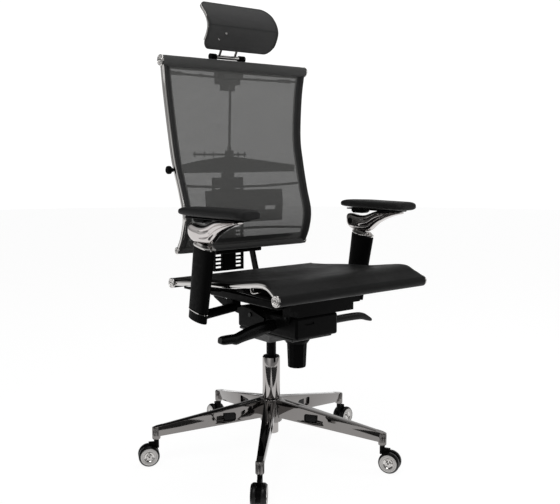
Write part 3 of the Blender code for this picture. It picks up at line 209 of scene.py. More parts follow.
def make_leather(name, colour, pebble):
    """Leather: pebbled cells, fine pores between them, and a worn, patchy sheen."""
    tree, shader, place = new_material(name, 0.5, Sheen_Weight=0.02, Sheen_Roughness=0.4)
    shader.inputs["Specular IOR Level"].default_value = 0.11
    warp = node(tree, "ShaderNodeTexNoise", {"Vector": place, "Scale": pebble * 0.6}).outputs["Color"]
    bent = node(tree, "ShaderNodeVectorMath", {0: warp, 1: (0.0009, 0.0009, 0.0009)},
                operation="MULTIPLY").outputs[0]
    bent = node(tree, "ShaderNodeVectorMath", {0: place, 1: bent}, operation="ADD").outputs[0]
    cells = node(tree, "ShaderNodeTexVoronoi", {"Vector": bent, "Scale": pebble},
                 feature="DISTANCE_TO_EDGE").outputs["Distance"]
    creases = ramp(tree, cells, [(0.0, 0.0), (0.22, 1.0)])
    patches = speckle(tree, place, 14.0, 4.0)
    tone = calc(tree, "MULTIPLY_ADD", creases, 0.25, patches)
    colour_between(tree, shader, tone, colour, 0.72, 1.2)
    rough_between(tree, shader, patches, 0.4, 0.56)
    grain = bumped(tree, shader, creases, 0.22, 0.0004)
    bumped(tree, shader, speckle(tree, place, 22.0, 3.0), 0.12, 0.003, grain)


def threads(tree, place, pitch, axis):
    """0 in the gap between two threads and 1 along a thread's middle, across one axis."""
    split = node(tree, "ShaderNodeSeparateXYZ", {"Vector": place}).outputs[axis]
    turn = calc(tree, "MULTIPLY", split, 2 * math.pi / pitch)
    return calc(tree, "MULTIPLY_ADD", calc(tree, "SINE", turn), 0.5, 0.5)


def make_cloth(name, colour, pitch, cover=None):
    """Woven cloth: raised crossing threads, lint, and gaps to see through where cover is given."""
    tree, shader, place = new_material(name, 0.8, Sheen_Weight=0.08, Sheen_Roughness=0.5)
    shader.inputs["Specular IOR Level"].default_value = 0.3
    across = threads(tree, place, pitch[0], 0)
    along = threads(tree, place, pitch[1], 2)
    weave = calc(tree, "MAXIMUM", across, along)
    lint = speckle(tree, place, 260.0, 3.0)
    colour_between(tree, shader, calc(tree, "MULTIPLY_ADD", lint, 0.5, calc(tree, "MULTIPLY", weave, 0.4)),
                   colour, 0.8, 1.15)
    rough_between(tree, shader, lint, 0.7, 0.9)
    bumped(tree, shader, weave, 0.5, 0.0005)
    if cover is not None:
        stripes = speckle(tree, place, 300.0, 1.0, (0.02, 0.02, 1.0))
        hole = calc(tree, "SUBTRACT", 1.0, weave)
        solid = calc(tree, "MULTIPLY_ADD", hole, -cover[1], cover[0])
        solid = calc(tree, "MULTIPLY_ADD", stripes, 0.06, solid)
        tree.links.new(solid, shader.inputs["Alpha"])


def make_materials():
    """Every skin, by name: the plated metals, the black mouldings and coats, the leathers and the cloths."""
    make_chrome("chrome_tube", (0.6, 0.585, 0.57), 0.05, 0.1, 0.004)
    # The column's plating is a darker copy of the chrome: painted shade that dims its reflections of the
    # floor.
    make_chrome("chrome_column_painted_shade", (0.4, 0.382, 0.372), 0.05, 0.09, 0.003)
    # The base's plating is a darker copy of the chrome: painted shade that dims its reflections of the floor.
    make_chrome("chrome_leg_painted_shade", (0.23, 0.219, 0.213), 0.05, 0.1, 0.008)
    make_chrome("chrome_cast", (0.6, 0.57, 0.56), 0.06, 0.13, 0.04)
    make_chrome("zinc", (0.42, 0.41, 0.4), 0.22, 0.34, 0.03)
    make_hard("black_coat", (0.0016, 0.0016, 0.0017), 0.38, 0.54, 1100.0, 0.16, Specular_IOR_Level=0.07)
    make_hard("black_plastic", (0.0015, 0.0015, 0.0016), 0.42, 0.6, 1500.0, 0.22, Specular_IOR_Level=0.05)
    make_hard("black_gloss", (0.0016, 0.0016, 0.0017), 0.2, 0.32, 700.0, 0.05, Specular_IOR_Level=0.2)
    make_hard("grey_plastic", (0.022, 0.022, 0.022), 0.42, 0.58, 1400.0, 0.2, Specular_IOR_Level=0.3)
    make_hard("tyre", (0.0022, 0.0022, 0.0023), 0.24, 0.4, 500.0, 0.06, Specular_IOR_Level=0.25)
    make_leather("seat_leather", (0.007, 0.007, 0.007), 620.0)
    make_leather("pad_leather", (0.014, 0.014, 0.0142), 760.0)
    make_cloth("mesh_back", (0.108, 0.108, 0.105), (0.0024, 0.003), (0.83, 0.52))
    make_cloth("mesh_head", (0.033, 0.033, 0.033), (0.0018, 0.0022), (0.99, 0.22))
    make_cloth("hem", (0.021, 0.021, 0.021), (0.0016, 0.0016))
    make_cloth("roll_cloth", (0.05, 0.05, 0.049), (0.0014, 0.0014))
    make_cloth("thread", (0.03, 0.03, 0.03), (0.0008, 0.0008))


# ---------------------------------------------------------------- shapes

def smooth_path(points, count):
    """Points on a Catmull-Rom curve through the given ones, the same number in each span."""
    points = [Vector(p) for p in points]
    ends = [2 * points[0] - points[1]] + points + [2 * points[-1] - points[-2]]
    path = []
    for i in range(1, len(ends) - 2):
        a, b, c, d = ends[i - 1:i + 3]
        for step in range(count):
            t = step / count
            path.append(0.5 * (2 * b + (c - a) * t + (2 * a - 5 * b + 4 * c - d) * t ** 2
                               + (3 * b - a - 3 * c + d) * t ** 3))
    path.append(points[-1])
    return path


def mix(a, b, share):
    return a + (b - a) * share


def eased(value, start, end):
    """0 before start and 1 after end, turning smoothly between them."""
    t = min(max((value - start) / (end - start), 0.0), 1.0)
    return t * t * (3 - 2 * t)


def loft(bm, rings, looped=False):
    """Joins rings of points into a surface, which either has closed ends or runs round to its start."""
    grid = [[bm.verts.new(p) for p in ring] for ring in rings]
    if looped:
        grid.append(grid[0])
    count = len(grid[0])
    for near, far in zip(grid, grid[1:]):
        for i in range(count):
            j = (i + 1) % count
            bm.faces.new((near[i], near[j], far[j], far[i]))
    if not looped:
        bm.faces.new(grid[0][::-1])
        bm.faces.new(grid[-1])


def lathe(bm, profile, place, axis, steps=40, looped=False, flutes=(0, 0.0)):
    """Spins (radius, height) points about an axis. Flutes are (count, depth) waves round it."""
    place = Vector(place)
    axis = Vector(axis).normalized()
    side = axis.orthogonal().normalized()
    up = axis.cross(side)
    rings = []
    for radius, height in profile:
        ring = []
        for i in range(steps):
            angle = 2 * math.pi * i / steps
            out = radius - flutes[1] * (0.5 + 0.5 * math.cos(flutes[0] * angle))
            ring.append(place + axis * height + (side * math.cos(angle) + up * math.sin(angle)) * out)
        rings.append(ring)
    loft(bm, rings, looped=looped)


def oval(half_across, half_up, count=24, power=2.0):
    """Points round an oval; a higher power makes it squarer."""
    points = []
    for i in range(count):
        angle = 2 * math.pi * i / count
        c, s = math.cos(angle), math.sin(angle)
        points.append((math.copysign(abs(c) ** (2 / power), c) * half_across,
                       math.copysign(abs(s) ** (2 / power), s) * half_up))
    return points


def sweep(bm, path, section, reference=(1, 0, 0)):
    """Carries section(share), a list of (across, up) offsets, along a path."""
    path = [Vector(p) for p in path]
    reference = Vector(reference)
    rings = []
    for i, point in enumerate(path):
        along = (path[min(i + 1, len(path) - 1)] - path[max(i - 1, 0)]).normalized()
        across = (reference - along * reference.dot(along)).normalized()
        up = along.cross(across)
        share = i / (len(path) - 1)
        rings.append([point + across * a + up * b for a, b in section(share)])
    loft(bm, rings)


def round_edges(bm, edges, radius, segments=2):
    bmesh.ops.bevel(bm, geom=edges, offset=radius, segments=segments, affect="EDGES", profile=0.5)


def block(bm, low, high, radius=0.0, segments=2):
    """A box between two corners, with rounded edges where a radius is given."""
    low, high = Vector(low), Vector(high)
    matrix = Matrix.Translation((low + high) / 2) @ Matrix.Diagonal((*(high - low), 1.0))
    made = bmesh.ops.create_cube(bm, size=1.0, matrix=matrix)
    if radius:
        edges = list({edge for vertex in made["verts"] for edge in vertex.link_edges})
        round_edges(bm, edges, radius, segments)


def slab(bm, outline, start, end, radius):
    """A (y, z) outline made solid from one x to another, with rounded rims."""
    lower = [bm.verts.new((start, y, z)) for y, z in outline]
    upper = [bm.verts.new((end, y, z)) for y, z in outline]
    faces = [bm.faces.new(lower[::-1]), bm.faces.new(upper)]
    for i in range(len(outline)):
        j = (i + 1) % len(outline)
        bm.faces.new((lower[i], lower[j], upper[j], upper[i]))
    round_edges(bm, list({edge for face in faces for edge in face.edges}), radius)


def cloth_sheet(bm, rows, thickness):
    """A closed thin sheet: rows of points, thickened evenly to both sides of the surface."""
    rows = [[Vector(p) for p in row] for row in rows]
    high, wide = len(rows), len(rows[0])
    layers = ([], [])
    for i in range(high):
        for layer in layers:
            layer.append([])
        for j in range(wide):
            down = rows[min(i + 1, high - 1)][j] - rows[max(i - 1, 0)][j]
            over = rows[i][min(j + 1, wide - 1)] - rows[i][max(j - 1, 0)]
            normal = down.cross(over).normalized() * thickness / 2
            layers[0][-1].append(bm.verts.new(rows[i][j] + normal))
            layers[1][-1].append(bm.verts.new(rows[i][j] - normal))
    for layer in layers:
        for i in range(high - 1):
            for j in range(wide - 1):
                bm.faces.new((layer[i][j], layer[i][j + 1], layer[i + 1][j + 1], layer[i + 1][j]))
    first, second = layers
    rim = [(0, j) for j in range(wide)] + [(i, wide - 1) for i in range(1, high)]
    rim += [(high - 1, j) for j in range(wide - 2, -1, -1)] + [(i, 0) for i in range(high - 2, 0, -1)]
    for (i, j), (k, m) in zip(rim, rim[1:] + rim[:1]):
        bm.faces.new((first[i][j], first[k][m], second[k][m], second[i][j]))


def placed(name, build):
    """A new object: a mesh built about the column's axis, moved to where the column stands."""
    mesh = bpy.data.meshes.new(name)
    bm = bmesh.new()
    build(bm)
    bmesh.ops.recalc_face_normals(bm, faces=bm.faces)
    bmesh.ops.translate(bm, verts=bm.verts, vec=COLUMN)
    bm.to_mesh(mesh)
    bm.free()
    return linked(name, mesh)


def linked(name, data):
    obj = bpy.data.objects.new(name, data)
    bpy.context.scene.collection.objects.link(obj)
    return obj


def smooth_shaded(mesh, sharp=38.0):
    mesh.shade_smooth()
    mesh.set_sharp_from_angle(angle=math.radians(sharp))


def piece(name, build, skin, body, slot, replaces=(), sharp=38.0):
    """A finished piece: built, given its material and set to ride on its CAD body."""
    obj = placed(name, build)
    obj.data.materials.append(SKINS[skin])
    smooth_shaded(obj.data, sharp)
    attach(obj, body)
    if replaces:
        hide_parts(*replaces)
    return obj


def turned(name, profile, finish, replaces=(), place=(0, 0, 0), axis=(0, 0, 1), steps=56, **options):
    """A piece spun from one profile; finish is its skin, body and slot, and the slot is not used."""
    piece(name, lambda bm: lathe(bm, profile, place, axis, steps, **options), *finish, replaces)


def cut_away(obj, tools, bevel):
    """Cuts tools from an object, rounds the sharp edges that are left, and keeps that as its mesh."""
    for tool in tools:
        step = obj.modifiers.new("cut", "BOOLEAN")
        step.operation = "DIFFERENCE"
        step.solver = "EXACT"
        step.object = tool
    rounding = obj.modifiers.new("rounding", "BEVEL")
    rounding.width = bevel
    rounding.segments = 2
    rounding.limit_method = "ANGLE"
    rounding.angle_limit = math.radians(40)
    bpy.context.view_layer.update()
    mesh = bpy.data.meshes.new_from_object(obj.evaluated_get(bpy.context.evaluated_depsgraph_get()))
    obj.modifiers.clear()
    obj.data = mesh
    smooth_shaded(mesh)
    for tool in tools:
        bpy.data.objects.remove(tool, do_unlink=True)


def paint(skin, *names):
    """Gives CAD nodes that stay visible their material."""
    for name in names:
        mesh = frame["nodes"][name].data
        mesh.materials.clear()
        mesh.materials.append(SKINS[skin])


# ---------------------------------------------------------------- base, column, casters

def joint_place(name):
    return Vector(JOINTS[name]["pos_m"]) - COLUMN


def leg_direction(index):
    foot = joint_place(f"caster_{index + 1}_swivel")
    return Vector((foot.x, foot.y, 0.0)).normalized()


def leg_height(radius, which):
    """A leg's bottom (0) or top (1) at a distance from the axis."""
    share = (radius - HUB_RADIUS) / (LEG_REACH - HUB_RADIUS)
    return mix(LEG_ROOT[which], LEG_TIP[which], share)


def make_leg(index):
    """A tapered leg with a window in each flank, a split root and a ribbed socket at its tip."""
    out = leg_direction(index)
    across = Vector((-out.y, out.x, 0.0))
    turn = Matrix((out, across, Vector((0, 0, 1)))).transposed().to_4x4()

    def ring(radius, width, low, high):
        corners = [(-width * 0.42, low), (width * 0.42, low), (width / 2, high), (-width / 2, high)]
        return [out * radius + across * a + Vector((0, 0, z)) for a, z in corners]

    def build(bm):
        stations = ((0.022, LEG_WIDTHS[0]), (0.18, mix(*LEG_WIDTHS, 0.5)), (0.33, LEG_WIDTHS[1]))
        loft(bm, [ring(r, w, leg_height(r, 0), leg_height(r, 1)) for r, w in stations])

    leg = piece(f"base_leg_{index + 1}", build, "chrome_leg_painted_shade", "base", "polished_base")
    middle = 0.136
    low, high = leg_height(middle, 0) + 0.009, leg_height(middle, 1) - 0.01

    def window(side):
        def build_window(bm):
            span = (0.0035, 0.05) if side > 0 else (-0.05, -0.0035)
            block(bm, (0.108, span[0], low), (0.164, span[1], high))
            edges = [e for e in bm.edges if abs(e.verts[0].co.y - e.verts[1].co.y) > 0.01]
            round_edges(bm, edges, 0.007, 5)
            bmesh.ops.transform(bm, matrix=turn, verts=bm.verts)
        return build_window

    def slot(bm):
        block(bm, (0.044, -0.0036, 0.08), (0.088, 0.0036, 0.2), 0.0033, 3)
        bmesh.ops.transform(bm, matrix=turn, verts=bm.verts)

    cut_away(leg, [placed("cutter", build_tool) for build_tool in (window(1), window(-1), slot)], 0.0009)

    # A black block inside part of each window stands in for the shade in the hole: painted shade.
    def build_window_shade(bm):
        for side in (-1, 1):
            block(bm, (0.1085, min(side * 0.0036, side * 0.01), low + 0.0006),
                  (0.142, max(side * 0.0036, side * 0.01), high - 0.0006), 0.002, 1)
        bmesh.ops.transform(bm, matrix=turn, verts=bm.verts)

    piece(f"base_leg_window_shade_{index + 1}", build_window_shade, "black_gloss", "base", "black_plastic")

    def build_socket(bm):
        foot = out * LEG_REACH
        lathe(bm, [(0.0062, 0.0755), (0.0104, 0.0755), (0.0114, 0.0765), (0.0117, 0.079), (0.0117, 0.107),
                   (0.0108, 0.1085), (0.0062, 0.1085)], foot, (0, 0, 1), 96, flutes=(12, 0.0015))
        lid = []
        for radius, width in ((0.318, 0.0184), (LEG_REACH, 0.018), (0.344, 0.0085), (0.3465, 0.0035)):
            top = leg_height(radius, 1) + 0.0001
            lid.append(ring(radius, width, top - 0.003, top))
        loft(bm, lid)

    piece(f"base_socket_{index + 1}", build_socket, "chrome_leg_painted_shade", "base", "polished_base")


def make_base():
    """The legs, the fluted hub, the column's outer tube and bush, and the gas cylinder."""
    for index in range(5):
        make_leg(index)

    r = HUB_RADIUS
    hub = [(0.0215, 0.103), (r - 0.003, 0.103), (r - 0.0005, 0.106), (r, 0.112), (r, 0.166),
           (r - 0.0008, 0.1705), (r - 0.003, 0.1728), (0.0215, 0.173)]
    turned("base_hub", hub, ("chrome_leg_painted_shade", "base", "polished_base"), ["star_base"], steps=160,
           looped=True, flutes=(20, 0.0016))
    tube = [(0.015, 0.2955), (0.024, 0.2955), (0.025, 0.2951), (TUBE_RADIUS, 0.294),
            (TUBE_RADIUS, 0.1748), (0.0248, 0.1736), (0.021, 0.1734), (0.021, 0.0705),
            (0.0205, 0.07), (0.006, 0.07), (0.006, 0.078), (0.015, 0.078)]
    turned("column_outer", tube, ("chrome_column_painted_shade", "base", "chrome_trim"), ["column_tube"], steps=72,
           looped=True)
    bush = [(0.0147, 0.29), (0.0232, 0.29), (0.0238, 0.2962), (0.0226, 0.298), (0.0157, 0.2988),
            (0.0147, 0.298)]
    turned("column_bush", bush, ("black_plastic", "base", "black_plastic"), looped=True)
    cylinder = [(0.0055, 0.125), (0.0135, 0.125), (0.014, 0.1256), (0.014, 0.401), (0.013, 0.4018)]
    turned("gas_cylinder_bar", cylinder, ("black_coat", "gas_lift", "black_steel"), ["gas_cylinder"])


def make_caster(index):
    """Twin wheels, each with a silver face ring round a chrome dish."""
    name = f"caster_{index + 1}"
    out = leg_direction(index)
    across = Vector((-out.y, out.x, 0.0))
    hub = joint_place(name + "_spin")
    body = name + "_wheel_pair"

    def both(profile):
        def build(bm):
            for side in (-1, 1):
                lathe(bm, profile, hub, across * side, 56, looped=True)
        return build

    tyre = [(0.003, 0.0063), (0.0268, 0.0061), (0.0288, 0.0066), (0.0295, 0.008), (0.0297, 0.0095),
            (0.0297, 0.013), (0.0295, 0.015), (0.0288, 0.0164), (0.0277, 0.0178), (0.0263, 0.0193),
            (0.0256, 0.0205), (0.0249, 0.0199), (0.0248, 0.015), (0.003, 0.0146)]
    piece(name + "_tyres", both(tyre), "tyre", body, "caster_tyre", [name + "_wheels"])
    ring = [(0.0146, 0.015), (0.0146, 0.0184), (0.0151, 0.0191), (0.016, 0.0194), (0.0196, 0.0198),
            (0.0199, 0.0194), (0.0204, 0.0194), (0.0207, 0.0199), (0.0236, 0.0202), (0.0244, 0.0199),
            (0.0247, 0.019), (0.0247, 0.015)]
    piece(name + "_rings", both(ring), "zinc", body, "chrome_trim")
    dish = [(0.003, 0.0149), (0.0146, 0.0149), (0.0146, 0.0186), (0.0136, 0.0176), (0.0118, 0.0163),
            (0.0098, 0.0158), (0.0084, 0.016), (0.0078, 0.0172), (0.0066, 0.0188), (0.0048, 0.0198),
            (0.003, 0.0201)]
    piece(name + "_dishes", both(dish), "chrome_tube", body, "chrome_trim")

    def pockets(bm):
        for side in (-1, 1):
            axis = across * side
            level = axis.cross(Vector((0, 0, 1)))
            for turn in range(3):
                angle = 2 * math.pi * turn / 3 + 0.9 * index
                spot = (level * math.cos(angle) + Vector((0, 0, 1)) * math.sin(angle)) * 0.0113
                lathe(bm, [(0.0022, 0.0156), (0.0021, 0.0163), (0.0006, 0.0165)], hub + spot, axis, 16)

    piece(name + "_hub_pockets", pockets, "black_gloss", body, "black_plastic")

    turned(name + "_axle", [(0.0028, -0.0148), (0.0028, 0.0148)], ("zinc", body, "chrome_trim"),
           place=hub, axis=across, steps=20)


# ---------------------------------------------------------------- seat

def rail_path():
    return smooth_path([SEAT_REAR] + RAIL_MIDDLE + [SEAT_FRONT], 6)


def wrap(centre, radius, start, end, count):
    """Points on an arc in the YZ plane, by angle in degrees from +Y towards +Z."""
    angles = [math.radians(mix(start, end, i / count)) for i in range(count + 1)]
    return [Vector((centre[0] + radius * math.cos(a), centre[1] + radius * math.sin(a))) for a in angles]


def end_cap(bm, x, side, y, z, radius, length):
    """A turned end disc with two raised rings on its face."""
    r = radius
    lathe(bm, [(r - 0.0015, -length), (r, -length + 0.0004), (r, -0.0022), (r - 0.0006, -0.001),
               (r - 0.0018, -0.0004), (r - 0.0034, -0.0006), (r - 0.004, -0.0016), (r * 0.58, -0.0016),
               (r * 0.54, -0.0004), (r * 0.44, 0.0), (r * 0.36, -0.0004), (r * 0.32, -0.0014),
               (r * 0.18, -0.0012), (r * 0.1, -0.0004)], (x, y, z), (side, 0, 0), 48)


def make_seat_rails():
    """The chrome side rails with their end caps, and the small hook under each."""
    for name, side in SIDES:
        def rail(bm, side=side):
            line = [(side * RAIL_X, p.x, p.y) for p in rail_path()]
            sweep(bm, line, lambda share: oval(RAIL_RADIUS, RAIL_RADIUS, 28))
            for y, z in (SEAT_REAR, SEAT_FRONT):
                end_cap(bm, side * 0.2618, side, y, z, SEAT_CAP_RADIUS, 0.0058)
                lathe(bm, [(0.009, 0.24), (0.009, 0.256)], (0, y, z), (side, 0, 0), 28)

        piece("seat_rail_tube_" + name, rail, "chrome_tube", "seat", "chrome_trim", ["seat_rail_" + name])

        def hook(bm, side=side):
            line = smooth_path([(side * RAIL_X, -0.234, 0.552), (side * RAIL_X, -0.2345, 0.543),
                                (side * RAIL_X, -0.2385, 0.5385), (side * RAIL_X, -0.25, 0.5395),
                                (side * RAIL_X, -0.264, 0.543)], 4)
            sweep(bm, line, lambda share: oval(0.0045, 0.0016, 14, 3.0))

        piece("seat_hook_" + name, hook, "chrome_tube", "seat", "chrome_trim")


def sling_rows():
    """The seat cover's middle surface: round the rear tube, over the rails, round the front tube."""
    rail = rail_path()
    reach = 0.0141 - SLING_THICK / 2
    rear = wrap(SEAT_REAR, reach, -85, 88, 10)
    front = wrap(SEAT_FRONT, reach + 0.0006, 112, 290, 14)
    top = [p + Vector((0.0, 0.0098)) for p in rail[3:-3]]
    line = rear + top + front
    columns = 44
    rows = []
    for i, point in enumerate(line):
        share = min(max((i - len(rear)) / len(top), 0.0), 1.0)
        near_end = min(point.x - SEAT_FRONT[0], SEAT_REAR[0] - point.x)
        open_edge = eased(near_end, 0.012, 0.034)
        half = mix(0.2562, SLING_EDGE, open_edge)
        sag = 0.0065 * math.sin(math.pi * share) ** 0.8
        row = []
        for j in range(columns + 1):
            u = -1 + 2 * j / columns
            u = math.copysign(1 - (1 - abs(u)) ** 1.25, u)
            x = u * half
            over = max((abs(x) - 0.244) / 0.0098, 0.0)
            drop = open_edge * 0.0048 * over * over
            row.append((x, point.x, point.y - sag * (1 - u * u) - drop))
        rows.append(row)
    return rows


def make_seat_cover():
    """The leather sling, stretched over the rails and the two tubes."""
    rows = sling_rows()
    cover = piece("seat_cover", lambda bm: cloth_sheet(bm, rows, SLING_THICK), "seat_leather", "seat",
                  "seat_leather", ["seat_sling"])
    make_stitches(rows)


def make_stitches(rows):
    """A line of stitches down each side of the seat cover."""
    for name, side in SIDES:
        inset = 3
        column = inset if side < 0 else len(rows[0]) - 1 - inset
        line = [Vector(row[column]) + Vector((0, 0, SLING_THICK / 2 + 0.0001)) for row in rows[11:-12]]
        dense = smooth_path(line, 4)

        def stitches(bm, dense=dense):
            travelled = 0.0
            start = dense[0]
            for near, far in zip(dense, dense[1:]):
                travelled += (far - near).length
                if travelled > 0.0055:
                    middle = (start + far) / 2
                    along = (far - start).normalized()
                    lathe(bm, [(0.0002, -0.0017), (0.00045, -0.0011), (0.0005, 0.0), (0.00045, 0.0011),
                               (0.0002, 0.0017)], middle, along, 8)
                    travelled = 0.0
                    start = far

        piece("seat_stitches_" + name, stitches, "thread", "seat", "seat_leather")


# ---------------------------------------------------------------- arms

def lean(y_offset, along):
    """A (y, z) place beside the post's leaning centre line, at a length along it."""
    y, z = POST_FOOT
    return (y - along * math.sin(POST_LEAN) + y_offset * math.cos(POST_LEAN),
            z + along * math.cos(POST_LEAN) + y_offset * math.sin(POST_LEAN))


def post_rings(side, stations):
    """Oval rings square to the leaning post: each station is (along, half width, half depth)."""
    rings = []
    for along, half_x, half_y in stations:
        ring = []
        for a, b in oval(half_x, half_y, 56, 2.5):
            y, z = lean(b, along)
            ring.append((side * ARM_X + a, y, z))
        rings.append(ring)
    return rings


def make_arm(name, side):
    """An arm: sleeve, band, casting, collar, bolt head and the boss under its pad."""
    body = "arm_" + name
    w, d = POST_HALF
    start, top = SLEEVE_START, SLEEVE_END

    def sleeve(bm):
        stations = [(start, w - 0.0012, d - 0.0012), (start + 0.0012, w, d)]
        for i in range(13):
            share = i / 12
            grow = 1.0 + 0.1 * share ** 1.6
            stations.append((mix(start + 0.004, top - 0.003, share), w * grow, d * grow))
        stations += [(top - 0.001, w * 1.09, d * 1.09), (top, w * 1.05, d * 1.05)]
        loft(bm, post_rings(side, stations))

    piece("arm_sleeve_" + name, sleeve, "black_plastic", body, "black_plastic", ["arm_post_" + name])

    def band(bm):
        stations = ((0.0, -0.001), (0.0004, 0.0005), (0.0024, 0.0005), (0.0028, -0.001))
        loft(bm, post_rings(side, [(BAND_START + a, w + grow, d + grow) for a, grow in stations]))

    piece("arm_band_" + name, band, "chrome_tube", "seat", "chrome_trim")
    piece("arm_casting_" + name, lambda bm: arm_casting(bm, side), "chrome_cast", body, "polished_cast",
          ["arm_bracket_" + name])

    def collar(bm):
        stations = ((0.0, 0.0005, 0.0005), (0.0006, 0.0022, 0.0025), (0.0034, 0.0028, 0.0032),
                    (0.0064, 0.0022, 0.0024), (0.0074, 0.0004, -0.001), (0.012, -0.001, -0.008))
        loft(bm, post_rings(side, [(COLLAR_START + a, w + wide, d + deep) for a, wide, deep in stations]))

    piece("arm_collar_" + name, collar, "chrome_tube", body, "chrome_trim")

    bolt = [(0.0098, -0.004), (0.0098, 0.0004), (0.0092, 0.0014), (0.0078, 0.0016), (0.007, 0.0008),
            (0.004, 0.0006), (0.0034, 0.0016), (0.001, 0.0018)]
    turned("arm_bolt_" + name, bolt, ("black_gloss", body, "black_plastic"),
           place=(side * (ARM_X - 0.0166), -0.045, 0.679), axis=(-side, 0, 0), steps=32)

    def boss(bm):
        x = side * (ARM_X - 0.002)
        slab(bm, [(-0.049, 0.7155), (-0.049, 0.7085), (-0.056, 0.704), (-0.092, 0.704), (-0.1, 0.7085),
                  (-0.1, 0.7155)], x - 0.0135, x + 0.0135, 0.0018)

    piece("arm_pad_boss_" + name, boss, "black_plastic", "arm_pad_" + name, "black_plastic")
    make_arm_pad(name, side)


def arm_casting(bm, side):
    """The bracket's casting: a rounded cup at the rear that rises forward as a three-strand arm."""
    stations = [(-0.0225, 0.676, 0.692, 0.006), (-0.0245, 0.669, 0.698, 0.011),
                (-0.03, 0.6625, 0.7008, 0.0145), (-0.042, 0.655, 0.7012, 0.0165),
                (-0.058, 0.6515, 0.6985, 0.0172), (-0.078, 0.6505, 0.6966, 0.0172),
                (-0.098, 0.6505, 0.6985, 0.017), (-0.116, 0.653, 0.704, 0.0164),
                (-0.132, 0.6645, 0.7095, 0.0157), (-0.15, 0.677, 0.7135, 0.0152),
                (-0.175, 0.689, 0.7143, 0.015), (-0.2, 0.698, 0.7143, 0.0148),
                (-0.222, 0.7045, 0.7143, 0.0143), (-0.234, 0.7075, 0.714, 0.0125),
                (-0.2375, 0.7095, 0.713, 0.008)]
    rings = []
    for y, low, high, half in smooth_path(stations, 5):
        strands = eased(-y, 0.072, 0.105) * (1 - eased(-y, 0.215, 0.235))
        ring = []
        for across, up in oval(1.0, 1.0, 72, 2.8):
            level = 0.5 + 0.5 * up
            groove = sum(math.exp(-((level - place) / 0.055) ** 2) for place in (0.36, 0.68))
            x = across * half * (1 - 0.22 * strands * groove)
            ring.append((side * ARM_X + x, y, mix(low, high, level)))
        rings.append(ring)
    loft(bm, rings)


def make_arm_pad(name, side):
    """A moulded armrest skin: full in the middle, thinner and narrower towards the rear."""
    toe = Matrix.Rotation(-side * PAD_TOE_IN, 4, "Z")
    pivot = Vector((side * (ARM_X - 0.003), PAD_PIVOT_Y, 0.0))

    def ring(share):
        y = mix(PAD_REAR, PAD_FRONT, share)
        end = min(share, 1 - share)
        round_off = (1 - (1 - min(end / 0.1, 1.0)) ** 2.2) ** (1 / 2.2)
        half = mix(0.036, 0.0385, eased(share, 0.0, 0.45)) * mix(0.55, 1.0, round_off)
        half = half + 0.0035 * math.sin(math.pi * min(share / 0.9, 1.0))
        thick_rear = eased(share, -0.05, 0.4)
        top = mix(0.742, 0.7445, thick_rear) - 0.009 * (1 - round_off) ** 1.4
        bottom = mix(0.7215, 0.7194, eased(share, 0.0, 0.3)) + 0.0065 * (1 - round_off) ** 1.4
        middle = mix(bottom, top, 0.45)
        points = []
        for a, b in oval(1.0, 1.0, 48, 3.0):
            z = middle + (b * (top - middle) if b > 0 else b * (middle - bottom))
            points.append(pivot + toe @ Vector((a * half, y, z)))
        return points

    def build(bm):
        stations = [0.0, 0.004, 0.012, 0.025, 0.045, 0.07, 0.1]
        stations += [0.1 + 0.8 * i / 20 for i in range(1, 21)]
        stations += [0.93, 0.955, 0.975, 0.988, 0.996, 1.0]
        loft(bm, [ring(s) for s in stations])

    pad = piece("arm_cushion_" + name, build, "pad_leather", "arm_pad_" + name, "pad_leather",
                ["arm_pad_" + name], sharp=60.0)


# ---------------------------------------------------------------- backrest

def back_path():
    return smooth_path(BACK_LINE, 8)


def back_at(height):
    """The side line's (half width, y) at a height."""
    line = back_path()
    for upper, lower in zip(line, line[1:]):
        if lower.z <= height <= upper.z:
            share = (height - lower.z) / (upper.z - lower.z)
            return mix(upper.x, lower.x, 1 - share), mix(upper.y, lower.y, 1 - share)
    return line[0].x, line[0].y


def make_back_frame():
    """The chrome side tubes with their end caps, and the hem that wraps each."""
    for name, side in SIDES:
        def tube(bm, side=side):
            line = [(side * p.x, p.y, p.z) for p in back_path()]
            sweep(bm, line, lambda share: oval(0.0064, 0.0088, 28, 2.3))
            end_cap(bm, side * 0.2622, side, *BACK_TOP, TOP_ROLL_RADIUS, 0.005)
            end_cap(bm, side * 0.2382, side, *BACK_BOTTOM, BOTTOM_ROLL_RADIUS + 0.001, 0.005)

        piece("back_side_tube_" + name, tube, "chrome_tube", "backrest", "chrome_trim", ["back_tube_" + name])

        def hem(bm, side=side):
            line = [(side * p.x, p.y, p.z) for p in back_path()[1:-1]]
            arc = [math.radians(a) for a in range(284, 90, -9)]
            outer = [(math.cos(a) * 0.008, math.sin(a) * 0.0104) for a in arc]
            inner = [(math.cos(a) * 0.0066, math.sin(a) * 0.009) for a in arc]
            front = [p for p in outer if p[1] < -0.0014]
            rear = [p for p in outer if p[1] > 0.0014]
            flap = [(-0.01, -0.0012), (-0.0225, -0.0011), (-0.0229, 0.0), (-0.0225, 0.0011),
                    (-0.01, 0.0012)]
            ring = front + flap + rear + inner[::-1]
            sweep(bm, line, lambda share: [(side * a, -b) for a, b in ring])

        piece("back_side_hem_" + name, hem, "hem", "backrest", "back_mesh")


def lumbar_place(height):
    """1 at the middle of the lumbar plate, falling to 0 away from it."""
    return math.exp(-((height - LUMBAR_Z) / 0.07) ** 2)


